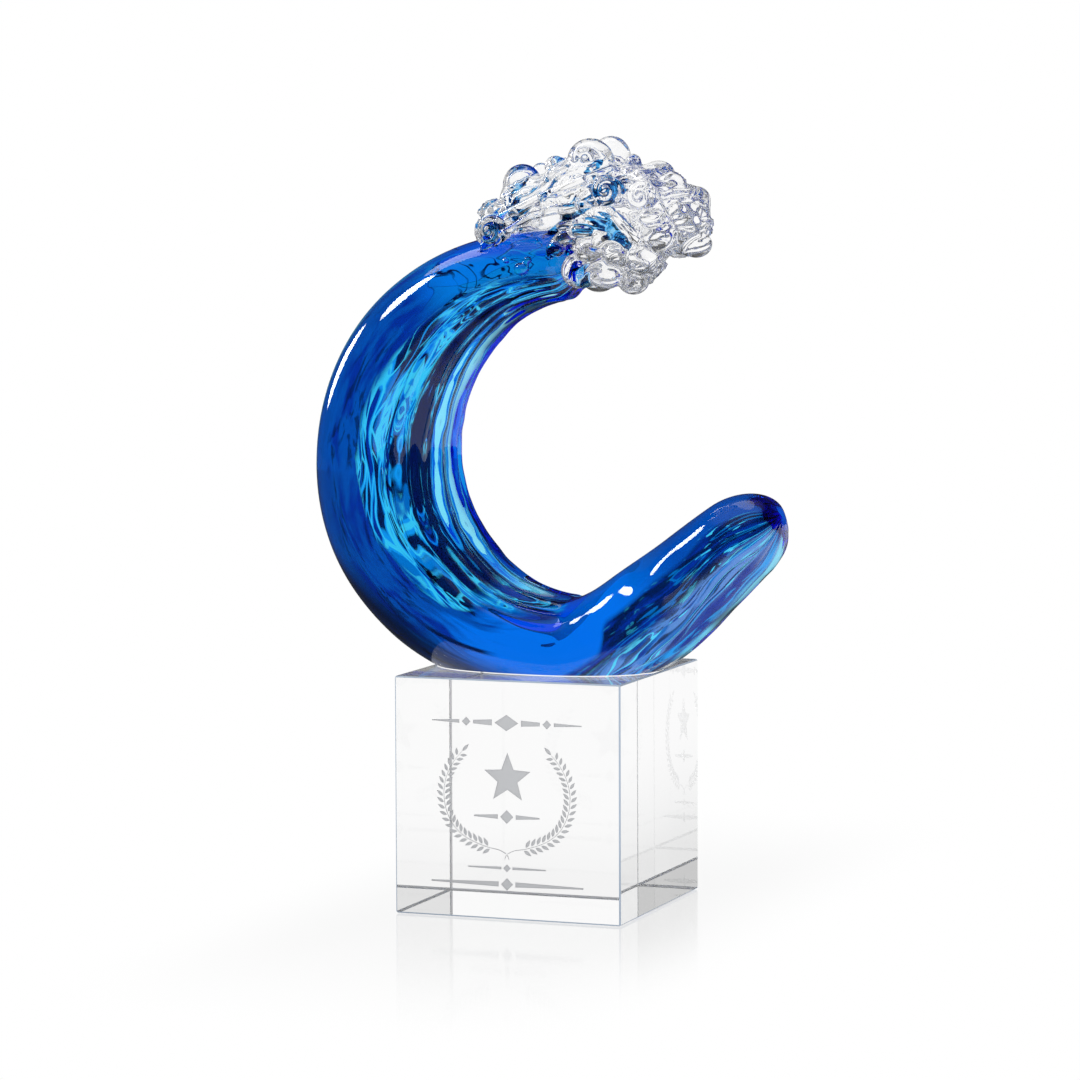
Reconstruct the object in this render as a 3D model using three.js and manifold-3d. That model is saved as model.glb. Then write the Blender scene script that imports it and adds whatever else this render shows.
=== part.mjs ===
// Glass award: a breaking wave of blue art glass cased in clear glass, with a crest of clear froth.
// Its foot is ground flat and bonded to the top of a clear crystal cube.
// Millimetres, +Z up. The origin is the centre of the cube's underside, and the cube's front faces -Y.
// The wave curls in the XZ plane: tongue to +X, back to -X, crest overhead.

import * as THREE from "three";
import { mergeVertices } from "three/addons/utils/BufferGeometryUtils.js";
import Module from "manifold-3d";

const wasm = await Module();
wasm.setup();

// Crystal cube
const cubeSide = 80;
const cubeHeight = 80;
const cubeChamfer = 0.5;

// Bond under the foot, how far it stays inside the cube's chamfers, the hairline left between flat
// faces that touch, and the wider one left between curved faces that are fused
const bondThickness = 0.3;
const bondMargin = 0.1;
const hairline = 0.02;
const fusedGap = 0.3;

// Mid-line of the wave: a round curl, and a tongue that leaves it at its lowest point
const curlRadius = 66.4;
const curlCentreX = 8;
const midlineAboveFoot = 5.4;
const neckAngle = 84;
const tongueReach = 75;
const tongueLift = 48;
const tongueLeadOut = 28;
const tipSlope = 18.5;
const tipLead = 25;
const tipRounding = 17;
const neckRounding = 9;

// Along the mid-line, where -1 is the tongue's tip, 0 the lowest point and 1 the neck under the
// crest: half the wave's thickness and depth, how far it is drawn in from the round mid-line, and
// the clear glass behind and in front of its blue core
const stations = [
  { at: -1.0, thick: 13.5, depth: 18.5, drawnIn: 0, backWall: 4.0, innerWall: 1.6 },
  { at: -0.8, thick: 14.6, depth: 20.5, drawnIn: 0, backWall: 5.5, innerWall: 1.6 },
  { at: -0.62, thick: 15.9, depth: 22.0, drawnIn: 0, backWall: 5.5, innerWall: 1.6 },
  { at: -0.36, thick: 17.6, depth: 23.5, drawnIn: 0.8, backWall: 5.0, innerWall: 1.6 },
  { at: -0.2, thick: 17.0, depth: 24.4, drawnIn: 1.4, backWall: 3.4, innerWall: 1.8 },
  { at: 0.0, thick: 18.5, depth: 25.5, drawnIn: 0.1, backWall: 2.0, innerWall: 5.0 },
  { at: 0.11, thick: 18.9, depth: 26.0, drawnIn: 1.2, backWall: 1.8, innerWall: 9.0 },
  { at: 0.24, thick: 22.1, depth: 26.0, drawnIn: 0.6, backWall: 1.6, innerWall: 12.5 },
  { at: 0.38, thick: 23.8, depth: 26.0, drawnIn: -0.5, backWall: 1.6, innerWall: 15.0 },
  { at: 0.49, thick: 23.3, depth: 26.0, drawnIn: 0, backWall: 1.6, innerWall: 15.0 },
  { at: 0.65, thick: 21.0, depth: 25.0, drawnIn: 1.0, backWall: 1.6, innerWall: 13.0 },
  { at: 0.75, thick: 18.0, depth: 23.8, drawnIn: 1.7, backWall: 1.6, innerWall: 10.5 },
  { at: 0.86, thick: 14.2, depth: 21.0, drawnIn: 2.1, backWall: 1.6, innerWall: 7.0 },
  { at: 1.0, thick: 10.2, depth: 17.0, drawnIn: 2.1, backWall: 1.8, innerWall: 4.0 },
];
const sideWall = 2.0;
const tipWall = 3.0;
const sectionFullness = 2.25;

// Flutes drawn into the inner face of the curl
const fluteCount = 8;
const fluteDepth = 0.9;
const fluteSpread = 85;
const fluteSway = 0.16;
const fluteSwings = 1.5;
const fluteFade = { from: -0.04, to: 0.14 };

// Crest: lumps of one clear gather over the neck, each a centre measured from the neck's end
const lumps = [
  { at: [-26, -3, 8], size: [12, 16, 10] },
  { at: [-12, -2, 14], size: [17, 20, 13] },
  { at: [4, 2, 17], size: [18, 22, 15] },
  { at: [19, -2, 15], size: [17, 21, 14] },
  { at: [29, -1, 12], size: [11, 17, 12] },
  { at: [13, -4, 2], size: [17, 17, 9] },
];

// Bits of clear glass set into the crest, the largest first: centre from the neck's end and radii
const bits = [
  { at: [2, -4, 33], size: [8.0, 7.6, 7.4] },
  { at: [12, -17, -3], size: [7.2, 6.4, 6.6] },
  { at: [2, -14, -5], size: [6.8, 6.4, 6.4] },
  { at: [-22, -4, 25], size: [6.6, 6.4, 6.4] },
  { at: [-29, -13, 9], size: [6.2, 5.6, 6.0] },
  { at: [22, -14, -6], size: [6.4, 5.8, 5.8] },
  { at: [5, 11, 34], size: [6.4, 6.4, 6.8] },
  { at: [30, -2, 25], size: [5.6, 5.4, 6.0] },
  { at: [30, -16, 9], size: [6.2, 5.4, 5.8] },
  { at: [38, 1, 18], size: [5.2, 5.0, 5.2] },
  { at: [39, -4, 5], size: [5.0, 4.8, 5.0] },
  { at: [23, 4, 28], size: [4.8, 4.8, 4.8] },
  { at: [-12, -2, 28], size: [4.4, 4.4, 4.6] },
  { at: [-20, 12, 23], size: [4.8, 4.8, 4.8] },
  { at: [-17, -21, -3], size: [3.8, 3.6, 3.8] },
  { at: [12, 17, 1], size: [6.8, 6.0, 6.2] },
  { at: [-6, 19, 10], size: [6.0, 5.4, 6.0] },
  { at: [28, 16, 9], size: [6.0, 5.6, 5.8] },
  { at: [11, -20, 15], size: [5.8, 4.8, 5.6] },
];

// Mesh fineness: rings and sides of the swept shapes, how near the first ring is to the very end in
// ring steps, how much closer together rings are at the ends, and points round the spheres
const casingRings = 46;
const coreRings = 34;
const coreSides = 18;
const ringMargin = 0.35;
const endCrowding = 0.7;
const anglesPerFlute = 4;
const plainAngles = 12;
const lumpFineness = [14, 8];
const bitFineness = [11, 7];

const footLevel = cubeHeight + bondThickness + 2 * hairline;
const curlCentre = new THREE.Vector2(curlCentreX, footLevel + midlineAboveFoot + curlRadius);
const neckEnd = new THREE.Vector3(
  curlCentre.x + curlRadius * Math.cos(THREE.MathUtils.degToRad(neckAngle)),
  0,
  curlCentre.y + curlRadius * Math.sin(THREE.MathUtils.degToRad(neckAngle)),
);

const crystal = new THREE.MeshStandardMaterial({
  color: 0xf4f7fa,
  roughness: 0.02,
  metalness: 0,
  transparent: true,
  opacity: 0.35,
});
const clearGlass = crystal.clone();
const blueGlass = new THREE.MeshStandardMaterial({ color: 0x0a5fd6, roughness: 0.03, metalness: 0 });
const bondFilm = new THREE.MeshStandardMaterial({ color: 0xe6ecef, roughness: 0.1, metalness: 0 });

// A closed geometry as a solid that can be cut and joined.
function solidOf(geometry) {
  const bare = geometry.clone();
  bare.deleteAttribute("normal");
  bare.deleteAttribute("uv");
  const merged = mergeVertices(bare, 1e-4);
  return new wasm.Manifold(
    new wasm.Mesh({
      numProp: 3,
      vertProperties: new Float32Array(merged.attributes.position.array),
      triVerts: new Uint32Array(merged.index.array),
    }),
  );
}

// A solid as a geometry, with the flat shading that its facets have.
function geometryOf(solid) {
  const mesh = solid.getMesh();
  const geometry = new THREE.BufferGeometry();
  geometry.setAttribute("position", new THREE.BufferAttribute(mesh.vertProperties, 3));
  geometry.setIndex(new THREE.BufferAttribute(mesh.triVerts, 1));
  geometry.computeVertexNormals();
  return geometry;
}

function smoothStep(value, from, to) {
  return THREE.MathUtils.smoothstep(value, from, to);
}

// The mid-line, in (x, z): the tongue from its tip to the lowest point, then the curl up to the neck.
const lowest = new THREE.Vector2(curlCentre.x, curlCentre.y - curlRadius);
const tip = new THREE.Vector2(lowest.x + tongueReach, lowest.y + tongueLift);
const tipTurn = THREE.MathUtils.degToRad(tipSlope);
const tipDirection = new THREE.Vector2(Math.cos(tipTurn), Math.sin(tipTurn));
const tongueLine = new THREE.CubicBezierCurve(
  tip,
  tip.clone().addScaledVector(tipDirection, -tipLead),
  new THREE.Vector2(lowest.x + tongueLeadOut, lowest.y),
  lowest,
);
const curlLine = new THREE.EllipseCurve(
  curlCentre.x,
  curlCentre.y,
  curlRadius,
  curlRadius,
  1.5 * Math.PI,
  THREE.MathUtils.degToRad(neckAngle),
  true,
);

// The mid-line's point, its direction of travel and its distance to either end, at station at.
// Past either end it goes straight on.
function midline(at) {
  const curve = at < 0 ? tongueLine : curlLine;
  const share = at < 0 ? at + 1 : at;
  const within = THREE.MathUtils.clamp(share, 0, 1);
  const travel = curve.getTangentAt(within);
  const beyond = (share - within) * curve.getLength();
  return {
    point: curve.getPointAt(within).addScaledVector(travel, beyond),
    travel,
    toTip: at < 0 ? share * curve.getLength() : Infinity,
    toNeck: at < 0 ? Infinity : (1 - share) * curve.getLength(),
  };
}

const stationValues = new THREE.CubicInterpolant(
  stations.map((s) => s.at),
  stations.flatMap((s) => [s.thick, s.depth, s.drawnIn, s.backWall, s.innerWall]),
  5,
);

// How far a round end has closed in: 0 at the very end, 1 once the rounding is past.
function endRounding(distance, rounding) {
  const left = THREE.MathUtils.clamp(1 - distance / rounding, 0, 1);
  return Math.sqrt(Math.max(0, 1 - left * left));
}

// Height of the flutes at section angle phi, in degrees from the middle of the inner face.
function fluteHeight(phi, at) {
  const across = phi / fluteSpread;
  if (Math.abs(across) >= 1) return 0;
  const shown = smoothStep(at, fluteFade.from, fluteFade.to) * Math.cos((across * Math.PI) / 2);
  const sway = fluteSway * Math.sin(2 * Math.PI * fluteSwings * at);
  return fluteDepth * shown * Math.cos(Math.PI * fluteCount * (across + sway));
}

// One point of the wave's section: a superellipse round the mid-line, phi degrees from the inner face.
function sectionPoint(at, phi, shape) {
  const line = midline(at);
  const tipShare = endRounding(line.toTip - shape.tipInset, shape.tipRounding);
  const neckShare = endRounding(line.toNeck - shape.neckInset, shape.neckRounding);
  const round = tipShare * neckShare;
  const angle = THREE.MathUtils.degToRad(phi);
  const power = 2 / sectionFullness;
  const inward = Math.sign(Math.cos(angle)) * Math.abs(Math.cos(angle)) ** power;
  const sideways = Math.sign(Math.sin(angle)) * Math.abs(Math.sin(angle)) ** power;
  const { thick, depth, shift } = shape.sizes(at);
  const flute = shape.flutes * fluteHeight(phi, at);
  const radial = round * (shift + thick * inward + flute * Math.cos(angle));
  const side = round * (depth * sideways + flute * Math.sin(angle));
  const normal = new THREE.Vector2(line.travel.y, -line.travel.x);
  return [line.point.x + normal.x * radial, side, line.point.y + normal.y * radial];
}

// The closed skin of a swept shape: rings of section points, with one point at each end.
function sweptGeometry(shape, rings, angles) {
  const from = -1 + shape.tipInset / tongueLine.getLength();
  const to = 1 - shape.neckInset / curlLine.getLength();
  const stops = ringStations(from, to, rings);
  const positions = [];
  stops.forEach((at) => angles.forEach((phi) => positions.push(...sectionPoint(at, phi, shape))));
  const first = positions.length / 3;
  [from, to].forEach((at) => {
    const { point } = midline(at);
    positions.push(point.x, 0, point.y);
  });
  const around = angles.length;
  const faces = [];
  for (let ring = 0; ring < stops.length - 1; ring += 1) {
    for (let side = 0; side < around; side += 1) {
      const a = ring * around + side;
      const b = ring * around + ((side + 1) % around);
      faces.push(a, b, a + around, b, b + around, a + around);
    }
  }
  const last = (stops.length - 1) * around;
  for (let side = 0; side < around; side += 1) {
    const next = (side + 1) % around;
    faces.push(first, next, side);
    faces.push(first + 1, last + side, last + next);
  }
  const geometry = new THREE.BufferGeometry();
  geometry.setAttribute("position", new THREE.Float32BufferAttribute(positions, 3));
  geometry.setIndex(faces);
  return geometry;
}

// Ring places between two stations, closer together where the ends round off.
function ringStations(from, to, rings) {
  const places = [];
  for (let i = 0; i < rings; i += 1) {
    const even = (i + ringMargin) / (rings - 1 + 2 * ringMargin);
    const eased = even - (endCrowding * Math.sin(2 * Math.PI * even)) / (2 * Math.PI);
    places.push(from + (to - from) * eased);
  }
  return places;
}

// Section angles of the casing: close together over the flutes, and wider apart elsewhere.
function casingAngles() {
  const fluted = anglesPerFlute * fluteCount;
  const angles = [];
  for (let i = 0; i < fluted; i += 1) angles.push(-fluteSpread + (2 * fluteSpread * i) / fluted);
  for (let i = 0; i < plainAngles; i += 1) {
    angles.push(fluteSpread + ((360 - 2 * fluteSpread) * i) / plainAngles);
  }
  return angles;
}

function evenAngles(count) {
  return Array.from({ length: count }, (_, i) => (360 * i) / count);
}

// The outside of the clear casing.
const casingShape = {
  flutes: 1,
  tipRounding,
  neckRounding,
  tipInset: 0,
  neckInset: 0,
  sizes: (at) => {
    const [thick, depth, drawnIn] = stationValues.evaluate(at);
    return { thick, depth, shift: drawnIn };
  },
};

// The blue core, or the hollow that holds it when clearance is above 0.
function coreShape(clearance) {
  return {
    flutes: 0,
    tipRounding: tipRounding - tipWall + clearance,
    neckRounding: neckRounding - tipWall + clearance,
    tipInset: tipWall - clearance,
    neckInset: tipWall - clearance,
    sizes: (at) => {
      const [thick, depth, drawnIn, backWall, innerWall] = stationValues.evaluate(at);
      return {
        thick: thick - (backWall + innerWall) / 2 + clearance,
        depth: depth - sideWall + clearance,
        shift: drawnIn + (backWall - innerWall) / 2,
      };
    },
  };
}

// Everything below a level, as a block wide enough to cut the whole wave.
function below(level) {
  const reach = 4 * (curlRadius + tongueReach);
  return solidOf(new THREE.BoxGeometry(reach, reach, reach).translate(0, 0, level - reach / 2));
}

function ellipsoid(at, size, fineness, growth = 0) {
  const geometry = new THREE.SphereGeometry(1, fineness[0], fineness[1]);
  geometry.scale(size[0] + growth, size[1] + growth, size[2] + growth);
  geometry.translate(neckEnd.x + at[0], neckEnd.y + at[1], neckEnd.z + at[2]);
  return solidOf(geometry);
}

function crystalCube() {
  const c = cubeChamfer;
  const half = cubeSide / 2 - c;
  const outline = new THREE.Shape();
  outline.moveTo(-half + c, -half);
  outline.lineTo(half - c, -half);
  outline.lineTo(half, -half + c);
  outline.lineTo(half, half - c);
  outline.lineTo(half - c, half);
  outline.lineTo(-half + c, half);
  outline.lineTo(-half, half - c);
  outline.lineTo(-half, -half + c);
  outline.closePath();
  const geometry = new THREE.ExtrudeGeometry(outline, {
    depth: cubeHeight - 2 * c,
    bevelEnabled: true,
    bevelThickness: c,
    bevelSize: c,
    bevelSegments: 1,
  });
  return geometry.translate(0, 0, c);
}

const wholeWave = solidOf(sweptGeometry(casingShape, casingRings, casingAngles()));
const belowFoot = below(footLevel);

// The film of adhesive fills the wave's outline where it meets the cube's flat top.
function bondGeometry() {
  const width = cubeSide - 2 * (cubeChamfer + bondMargin);
  const bottom = cubeHeight + hairline;
  const film = new THREE.BoxGeometry(width, width, bondThickness);
  film.translate(0, 0, bottom + bondThickness / 2);
  return geometryOf(wholeWave.intersect(solidOf(film)));
}

function blueCore() {
  const core = solidOf(sweptGeometry(coreShape(0), coreRings, evenAngles(coreSides)));
  return core.subtract(belowFoot);
}

function clearCasing() {
  const hollow = solidOf(sweptGeometry(coreShape(fusedGap), coreRings, evenAngles(coreSides)));
  return wholeWave.subtract(hollow).subtract(belowFoot);
}

// Bits in turn, each cut by the neck and by those set before it.
function frothBits() {
  const set = [];
  bits.forEach((bit) => {
    let solid = ellipsoid(bit.at, bit.size, bitFineness).subtract(neckRoom);
    set.forEach((earlier) => {
      solid = solid.subtract(earlier.grown);
    });
    set.push({ solid, grown: ellipsoid(bit.at, bit.size, bitFineness, fusedGap) });
  });
  return set;
}

// The clear gather over the neck: lumps joined, with room for the neck and for each bit.
function crestGather(bitsSet) {
  const joined = lumps
    .map((lump) => ellipsoid(lump.at, lump.size, lumpFineness))
    .reduce((sum, lump) => sum.add(lump));
  return bitsSet.reduce((rest, bit) => rest.subtract(bit.grown), joined.subtract(neckRoom));
}

function grownCasing() {
  const growth = fusedGap + fluteDepth;
  return {
    ...casingShape,
    flutes: 0,
    neckRounding: neckRounding + growth,
    neckInset: -growth,
    sizes: (at) => {
      const [thick, depth, drawnIn] = stationValues.evaluate(at);
      return { thick: thick + growth, depth: depth + growth, shift: drawnIn };
    },
  };
}

const neckRoom = solidOf(sweptGeometry(grownCasing(), coreRings, evenAngles(coreSides)));
const award = new THREE.Group();

function place(name, geometry, material) {
  const mesh = new THREE.Mesh(geometry, material);
  mesh.name = name;
  award.add(mesh);
}

const froth = frothBits();
place("crystal_cube", crystalCube(), crystal);
place("bond_film", bondGeometry(), bondFilm);
place("blue_core", geometryOf(blueCore()), blueGlass);
place("clear_casing", geometryOf(clearCasing()), clearGlass);
place("crest_gather", geometryOf(crestGather(froth)), clearGlass);
froth.forEach((bit, i) => {
  place(`froth_bit_${String(i + 1).padStart(2, "0")}`, geometryOf(bit.solid), clearGlass);
});

export default award;
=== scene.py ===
# Looks of the glass award: a blue wave cased in clear glass, its crest of clear froth, and the
# engraved crystal block that carries it. Shapes are worked out in millimetres and put into their
# meshes in metres, in the frame's own axes.
import math

import bmesh
import bpy
import numpy as np
from mathutils import Matrix, Vector


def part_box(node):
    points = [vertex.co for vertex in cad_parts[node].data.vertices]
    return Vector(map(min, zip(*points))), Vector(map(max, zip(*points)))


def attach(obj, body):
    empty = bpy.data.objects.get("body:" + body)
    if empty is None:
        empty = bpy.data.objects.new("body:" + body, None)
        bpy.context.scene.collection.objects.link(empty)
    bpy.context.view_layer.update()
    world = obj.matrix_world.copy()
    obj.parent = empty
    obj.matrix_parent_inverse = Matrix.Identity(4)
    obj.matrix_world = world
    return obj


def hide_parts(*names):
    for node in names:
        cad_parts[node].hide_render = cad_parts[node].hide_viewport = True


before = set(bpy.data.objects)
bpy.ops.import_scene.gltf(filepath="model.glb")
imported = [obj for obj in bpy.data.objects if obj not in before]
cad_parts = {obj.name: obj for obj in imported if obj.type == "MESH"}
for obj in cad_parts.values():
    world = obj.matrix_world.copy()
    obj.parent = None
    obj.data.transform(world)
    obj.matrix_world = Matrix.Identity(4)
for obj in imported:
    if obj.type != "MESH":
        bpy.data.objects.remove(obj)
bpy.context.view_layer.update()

MM = 0.001

# The camera as the photograph has it: angles in degrees, distance and aim in metres
VIEW_AZIMUTH = 20.676
VIEW_ELEVATION = 5.022
VIEW_ROLL = -0.19
VIEW_DISTANCE = 1.47734
VIEW_AIM = (-0.002951, 0.0, 0.12321)
FOCAL_PIXELS = 4363.1
IMAGE_PIXELS = 1080
SENSOR_WIDTH = 36.0

# Block, in millimetres, read from the frame
block_low, block_high = (np.array(corner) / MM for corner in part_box("crystal_cube"))
BLOCK_EDGE = 0.5
FOOT_LEVEL = float(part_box("clear_casing")[0][2]) / MM
film_low, film_high = (np.array(corner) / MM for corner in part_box("bond_film"))
FILM_INSET = 0.1

# Engraving on the block's front face, as (x, z) in millimetres: the right branch of the wreath, its
# leaves, and plain ornaments above, inside and below it
ENGRAVED_DEPTH = 0.25
BRANCH = np.array([
    [0.0, 21.9], [2.7, 23.2], [6.4, 23.9], [10.7, 25.2], [14.5, 26.9], [17.8, 29.4], [20.2, 32.6],
    [21.8, 36.6], [22.4, 41.4], [21.8, 45.9], [20.2, 49.9], [17.8, 53.5], [15.9, 55.6],
])
BRANCH_WIDTH = 0.2
BRANCH_TAIL = np.array([[-0.16, 21.6], [-0.45, 21.0], [-0.75, 20.1]])
LEAF_PAIRS = 20
LEAF_FIRST = 6.4
LEAF_EVERY = 2.12
LEAF_SIZE = (2.75, 1.05)
LEAF_ANGLE = 46.0
TOP_LEAF = (3.3, 1.1)
STAR = (0.3, 47.2, 8.6, 3.7)
LOZENGES = (
    (0.0, 34.4, 4.6, 4.6), (0.0, 65.8, 8.4, 5.4), (0.0, 17.2, 2.6, 2.6), (0.0, 11.8, 4.2, 4.2),
    (-14.3, 65.8, 3.0, 3.0), (14.3, 65.8, 3.0, 3.0),
)
# Bars: from x to x, z, height at the near end and at the far end
BARS = (
    (3.2, 11.6, 34.4, 1.5, 0.5), (5.2, 11.8, 65.8, 2.0, 1.2), (16.8, 26.5, 65.8, 1.2, 0.3),
    (2.0, 13.8, 17.2, 0.9, 0.4), (3.0, 27.0, 11.8, 1.7, 0.5),
)

# Mid-line of the wave: a round curl, and a tongue that leaves it at its lowest point
CURL_RADIUS = 66.4
CURL_CENTRE = np.array([8.0, FOOT_LEVEL + 5.4 + CURL_RADIUS])
NECK_ANGLE = 84.0
TONGUE_REACH = np.array([75.0, 48.0])
TONGUE_LEAD_OUT = 28.0
TIP_SLOPE = 18.5
TIP_LEAD = 25.0
TIP_ROUNDING = 17.0
NECK_ROUNDING = 9.0

# At stations along the mid-line, from the tongue's tip at -1 over the lowest point at 0 to the neck
# at 1: half thickness, half depth, how far it is drawn in, clear glass behind and before the core
STATIONS = np.array([
    [-1.00, 13.5, 18.5, 0.0, 4.0, 1.6],
    [-0.80, 14.6, 20.5, 0.0, 5.5, 1.6],
    [-0.62, 15.9, 22.0, 0.0, 5.5, 1.6],
    [-0.36, 17.6, 23.5, 0.8, 5.0, 1.6],
    [-0.20, 17.0, 24.4, 1.4, 2.8, 1.8],
    [0.00, 18.5, 25.5, 0.1, 1.7, 5.0],
    [0.11, 18.9, 26.0, 1.2, 1.7, 9.0],
    [0.24, 22.1, 26.0, 0.6, 1.6, 12.5],
    [0.38, 23.8, 26.0, -0.5, 1.6, 15.0],
    [0.49, 23.3, 26.0, 0.0, 1.6, 15.0],
    [0.65, 21.0, 25.0, 1.0, 1.6, 13.0],
    [0.75, 18.0, 23.8, 1.7, 1.6, 10.5],
    [0.86, 14.2, 21.0, 2.1, 1.6, 7.0],
    [1.00, 10.2, 17.0, 2.1, 1.8, 4.0],
])
SIDE_WALL = 1.8
LEAST_WALL = 1.4
END_WALL = 3.0
SECTION_FULLNESS = 2.25
FUSED_GAP = 0.3

# Flutes on the inner face of the curl, and the finer ripples that run with them
FLUTE_COUNT = 8
FLUTE_DEPTH = 0.9
FLUTE_SPREAD = 85.0
RIPPLE_DEPTH = 0.25
CORE_RIPPLE = 0.35
RIB_DEPTH = 0.45
SWELL_HEIGHT = 0.8
SWELL_LENGTH = 44.0
DENT_DEPTH = 0.35
DENT_LENGTH = 21.0
# The colour's unit along the wave, and where the neck's facets start and are full, in that unit
FLOW_UNIT = 25.0
NECK_FACETS = (6.3, 7.0)
# Cells of the network of painted refracted light and of the facets in each direction of the flow, for each
# unit
PAINTED_WEB_STRETCH = (0.62, 5.4, 5.4)
FACET_STRETCH = (1.3, 1.3, 1.3)

# Rings along the wave and points round each, of its skin and its core, and of the hollow in the casing
SKIN_GRID = (330, 200)
HOLLOW_GRID = (230, 132)

# Crest of froth: forms measured in millimetres from the neck's end, each a centre and three radii
CREST_LUMPS = np.array([
    [-28.7, -2, 13.4, 9.8, 12, 6.9],
    [-15.3, -1, 18.4, 14.0, 16, 9.7],
    [0.5, 1, 21.7, 16.8, 20, 13.8],
    [18.6, 0, 19.0, 15.8, 19, 13.1],
    [30.6, 0, 13.2, 11.9, 15, 12.4],
    [12.9, -6, 9.0, 16.1, 15, 11.7],
    [19.2, -4, 0.0, 8.4, 13, 8.3],
    [6.6, -8, -1.6, 11.9, 11, 6.9],
    [-0.7, 12, 14.7, 28.1, 9, 15.5],
])
CREST_BEADS = np.array([
    [-29.1, -13, 9.7, 6.0, 5.8, 5.9],
    [-22.6, -3, 25.3, 6.6, 6.6, 6.6],
    [-25.3, -5, 20.0, 4.2, 6, 4.8],
    [-19.3, 6, 29.2, 3.2, 3, 3.1],
    [-11.2, -2, 30.9, 3.6, 3.6, 3.8],
    [2.0, -4, 33.5, 7.7, 8.4, 6.9],
    [0.2, -5, 29.2, 9.1, 9, 3.4],
    [4.4, 10, 34.5, 6.5, 6.6, 6.7],
    [14.3, 4, 32.1, 2.8, 2.8, 3.1],
    [25.4, -2, 28.6, 5.4, 5.2, 4.3],
    [31.1, -4, 23.9, 4.7, 5, 4.8],
    [38.0, 0, 19.7, 4.7, 4.7, 4.7],
    [39.7, -1, 15.3, 3.2, 4, 3.4],
    [38.9, -3, 5.3, 5.3, 5.4, 4.5],
    [36.4, -3, 11.4, 4.6, 6, 4.5],
    [25.3, -17, 21.4, 4.9, 5, 4.8],
    [13.3, -18, 23.2, 6.0, 3.6, 4.8],
    [-6.7, -16, 18.6, 4.9, 3.2, 3.1],
    [2.1, -14, -3.4, 6.5, 6.4, 6.0],
    [11.0, -13, -4.2, 5.8, 6, 5.3],
    [19.0, -9, -6.6, 5.3, 5.3, 4.8],
    [23.7, -14, 0.9, 5.8, 5.8, 5.5],
    [29.7, -14, 8.6, 6.0, 6, 5.9],
    [28.1, -18, 14.3, 4.6, 4, 2.8],
    [6.3, -17, 3.6, 4.6, 5, 4.1],
    [15.9, -18, 2.7, 4.2, 5, 3.8],
    [-5.1, -18, 4.0, 3.2, 3.6, 2.8],
    [-1.6, -18, 7.6, 3.5, 3.6, 2.4],
    [4.9, -19, 10.0, 4.2, 3.6, 2.1],
    [-22.4, -19, -0.4, 1.9, 1.9, 1.6],
    [-16.9, -19, -2.9, 2.8, 2.8, 2.4],
    [-14.6, -19, 0.1, 1.4, 1.5, 1.4],
    [10.1, 12, -1.5, 7.0, 7, 6.2],
    [0.0, 10, -5.8, 6.3, 6, 5.5],
    [-15.9, 14, 19.8, 7.7, 7, 6.2],
    [19.9, 15, 18.0, 7.0, 7, 6.9],
    [-28.7, 10, 14.9, 7.0, 7, 4.8],
    [-5.9, 16, 26.6, 7.7, 7, 6.9],
])
CREST_RIDGES = (
    ([[-32.6, -16, 1.1], [-24.7, -17, 14.5], [-10.5, -18, 20.9], [1.8, -19, 25.3], [14.2, -18, 30.2]], 1.6),
    ([[-23.9, -19, 8.7], [-13.6, -19, 14.7], [-1.3, -20, 17.4], [10.7, -20, 19.4]], 1.4),
    ([[-3.3, -19, 11.4], [7.3, -20, 13.4], [14.8, -20, 11.4], [20.0, -19, 5.4]], 1.3),
    ([[15.2, -21, 16.8], [20.3, -20, 11.4], [23.8, -18, 7.0]], 1.4),
    ([[21.8, -12, 28.2], [28.3, -16, 21.8], [32.5, -15, 13.4]], 1.5),
    ([[-7.8, -18, 1.3], [-4.7, -19, 6.7], [2.2, -20, 9.5]], 1.3),
)
# Beads with a coiled face: place in the list, turns of the coil per millimetre, height
CREST_COILS = (
    (0, 0.42, 0.7), (1, 0.2, 0.35), (15, 0.34, 0.5), (16, 0.36, 0.6), (17, 0.5, 0.5), (5, 0.16, 0.3),
)
CREST_LOW = np.array([-42.0, -28.0, -15.0])
CREST_HIGH = np.array([47.0, 29.0, 44.0])
CREST_STEP = 0.66
LUMP_BLEND = 3.5
BEAD_BLEND = 1.3
FOLD_LENGTH = 6.2
FOLD_HEIGHT = 0.8
# Blue glass drawn up into the crest: points of each thread from the neck's end, and its thickness
CREST_THREADS = (
    ([[-14, -6, 4], [-8, -8, 11], [0, -9, 17], [9, -8, 23], [17, -6, 26]], 3.2),
    ([[-10, -8, 3], [0, -11, 9], [9, -12, 12], [15, -12, 8], [17, -10, 3]], 3.0),
    ([[-30, -8, 4], [-31, -11, 8], [-29, -13, 11.5], [-26.5, -13, 9.5], [-28.5, -13, 7.5]], 2.0),
    ([[-24, -4, 12], [-24, -4, 17], [-23, -4, 22], [-20.5, -3, 25]], 2.6),
    ([[2, -4, 24], [3, -5, 29], [6, -6, 33]], 1.8),
)

BACKDROP_DIRECTION = (-0.5, 0.866, 0.0)
ENVIRONMENT_DARK = 0.03
FLOOR_MIRRORED = 0.05
FLOOR_LIT_SIDE = 0.8
# Colour of ground crystal seen from inside the block: lighter, as painted light
FROST_INSIDE_PAINTED_LIGHT = (0.8, 0.81, 0.82, 1.0)
# Lamps as polished glass reflects them: direction, cosine of half their width, strength
SOFTBOXES = (
    ((-0.775, -0.19, 0.603), 0.984, 20.0),
    ((-0.914, 0.333, 0.231), 0.988, 14.0),
    ((-0.52, 0.15, 0.84), 0.965, 3.0),
    ((-0.085, 0.331, 0.94), 0.975, 1.2),
)
MIRROR_REACH = 0.2
MIRROR_SIDE = 0.06
MIRROR_STRENGTH = 0.3


def smooth_step(value, low, high):
    """0 below low, 1 above high, and a cubic between."""
    share = np.clip((value - low) / (high - low), 0, 1)
    return share * share * (3 - 2 * share)


# Mid-line and sections of the wave

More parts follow.
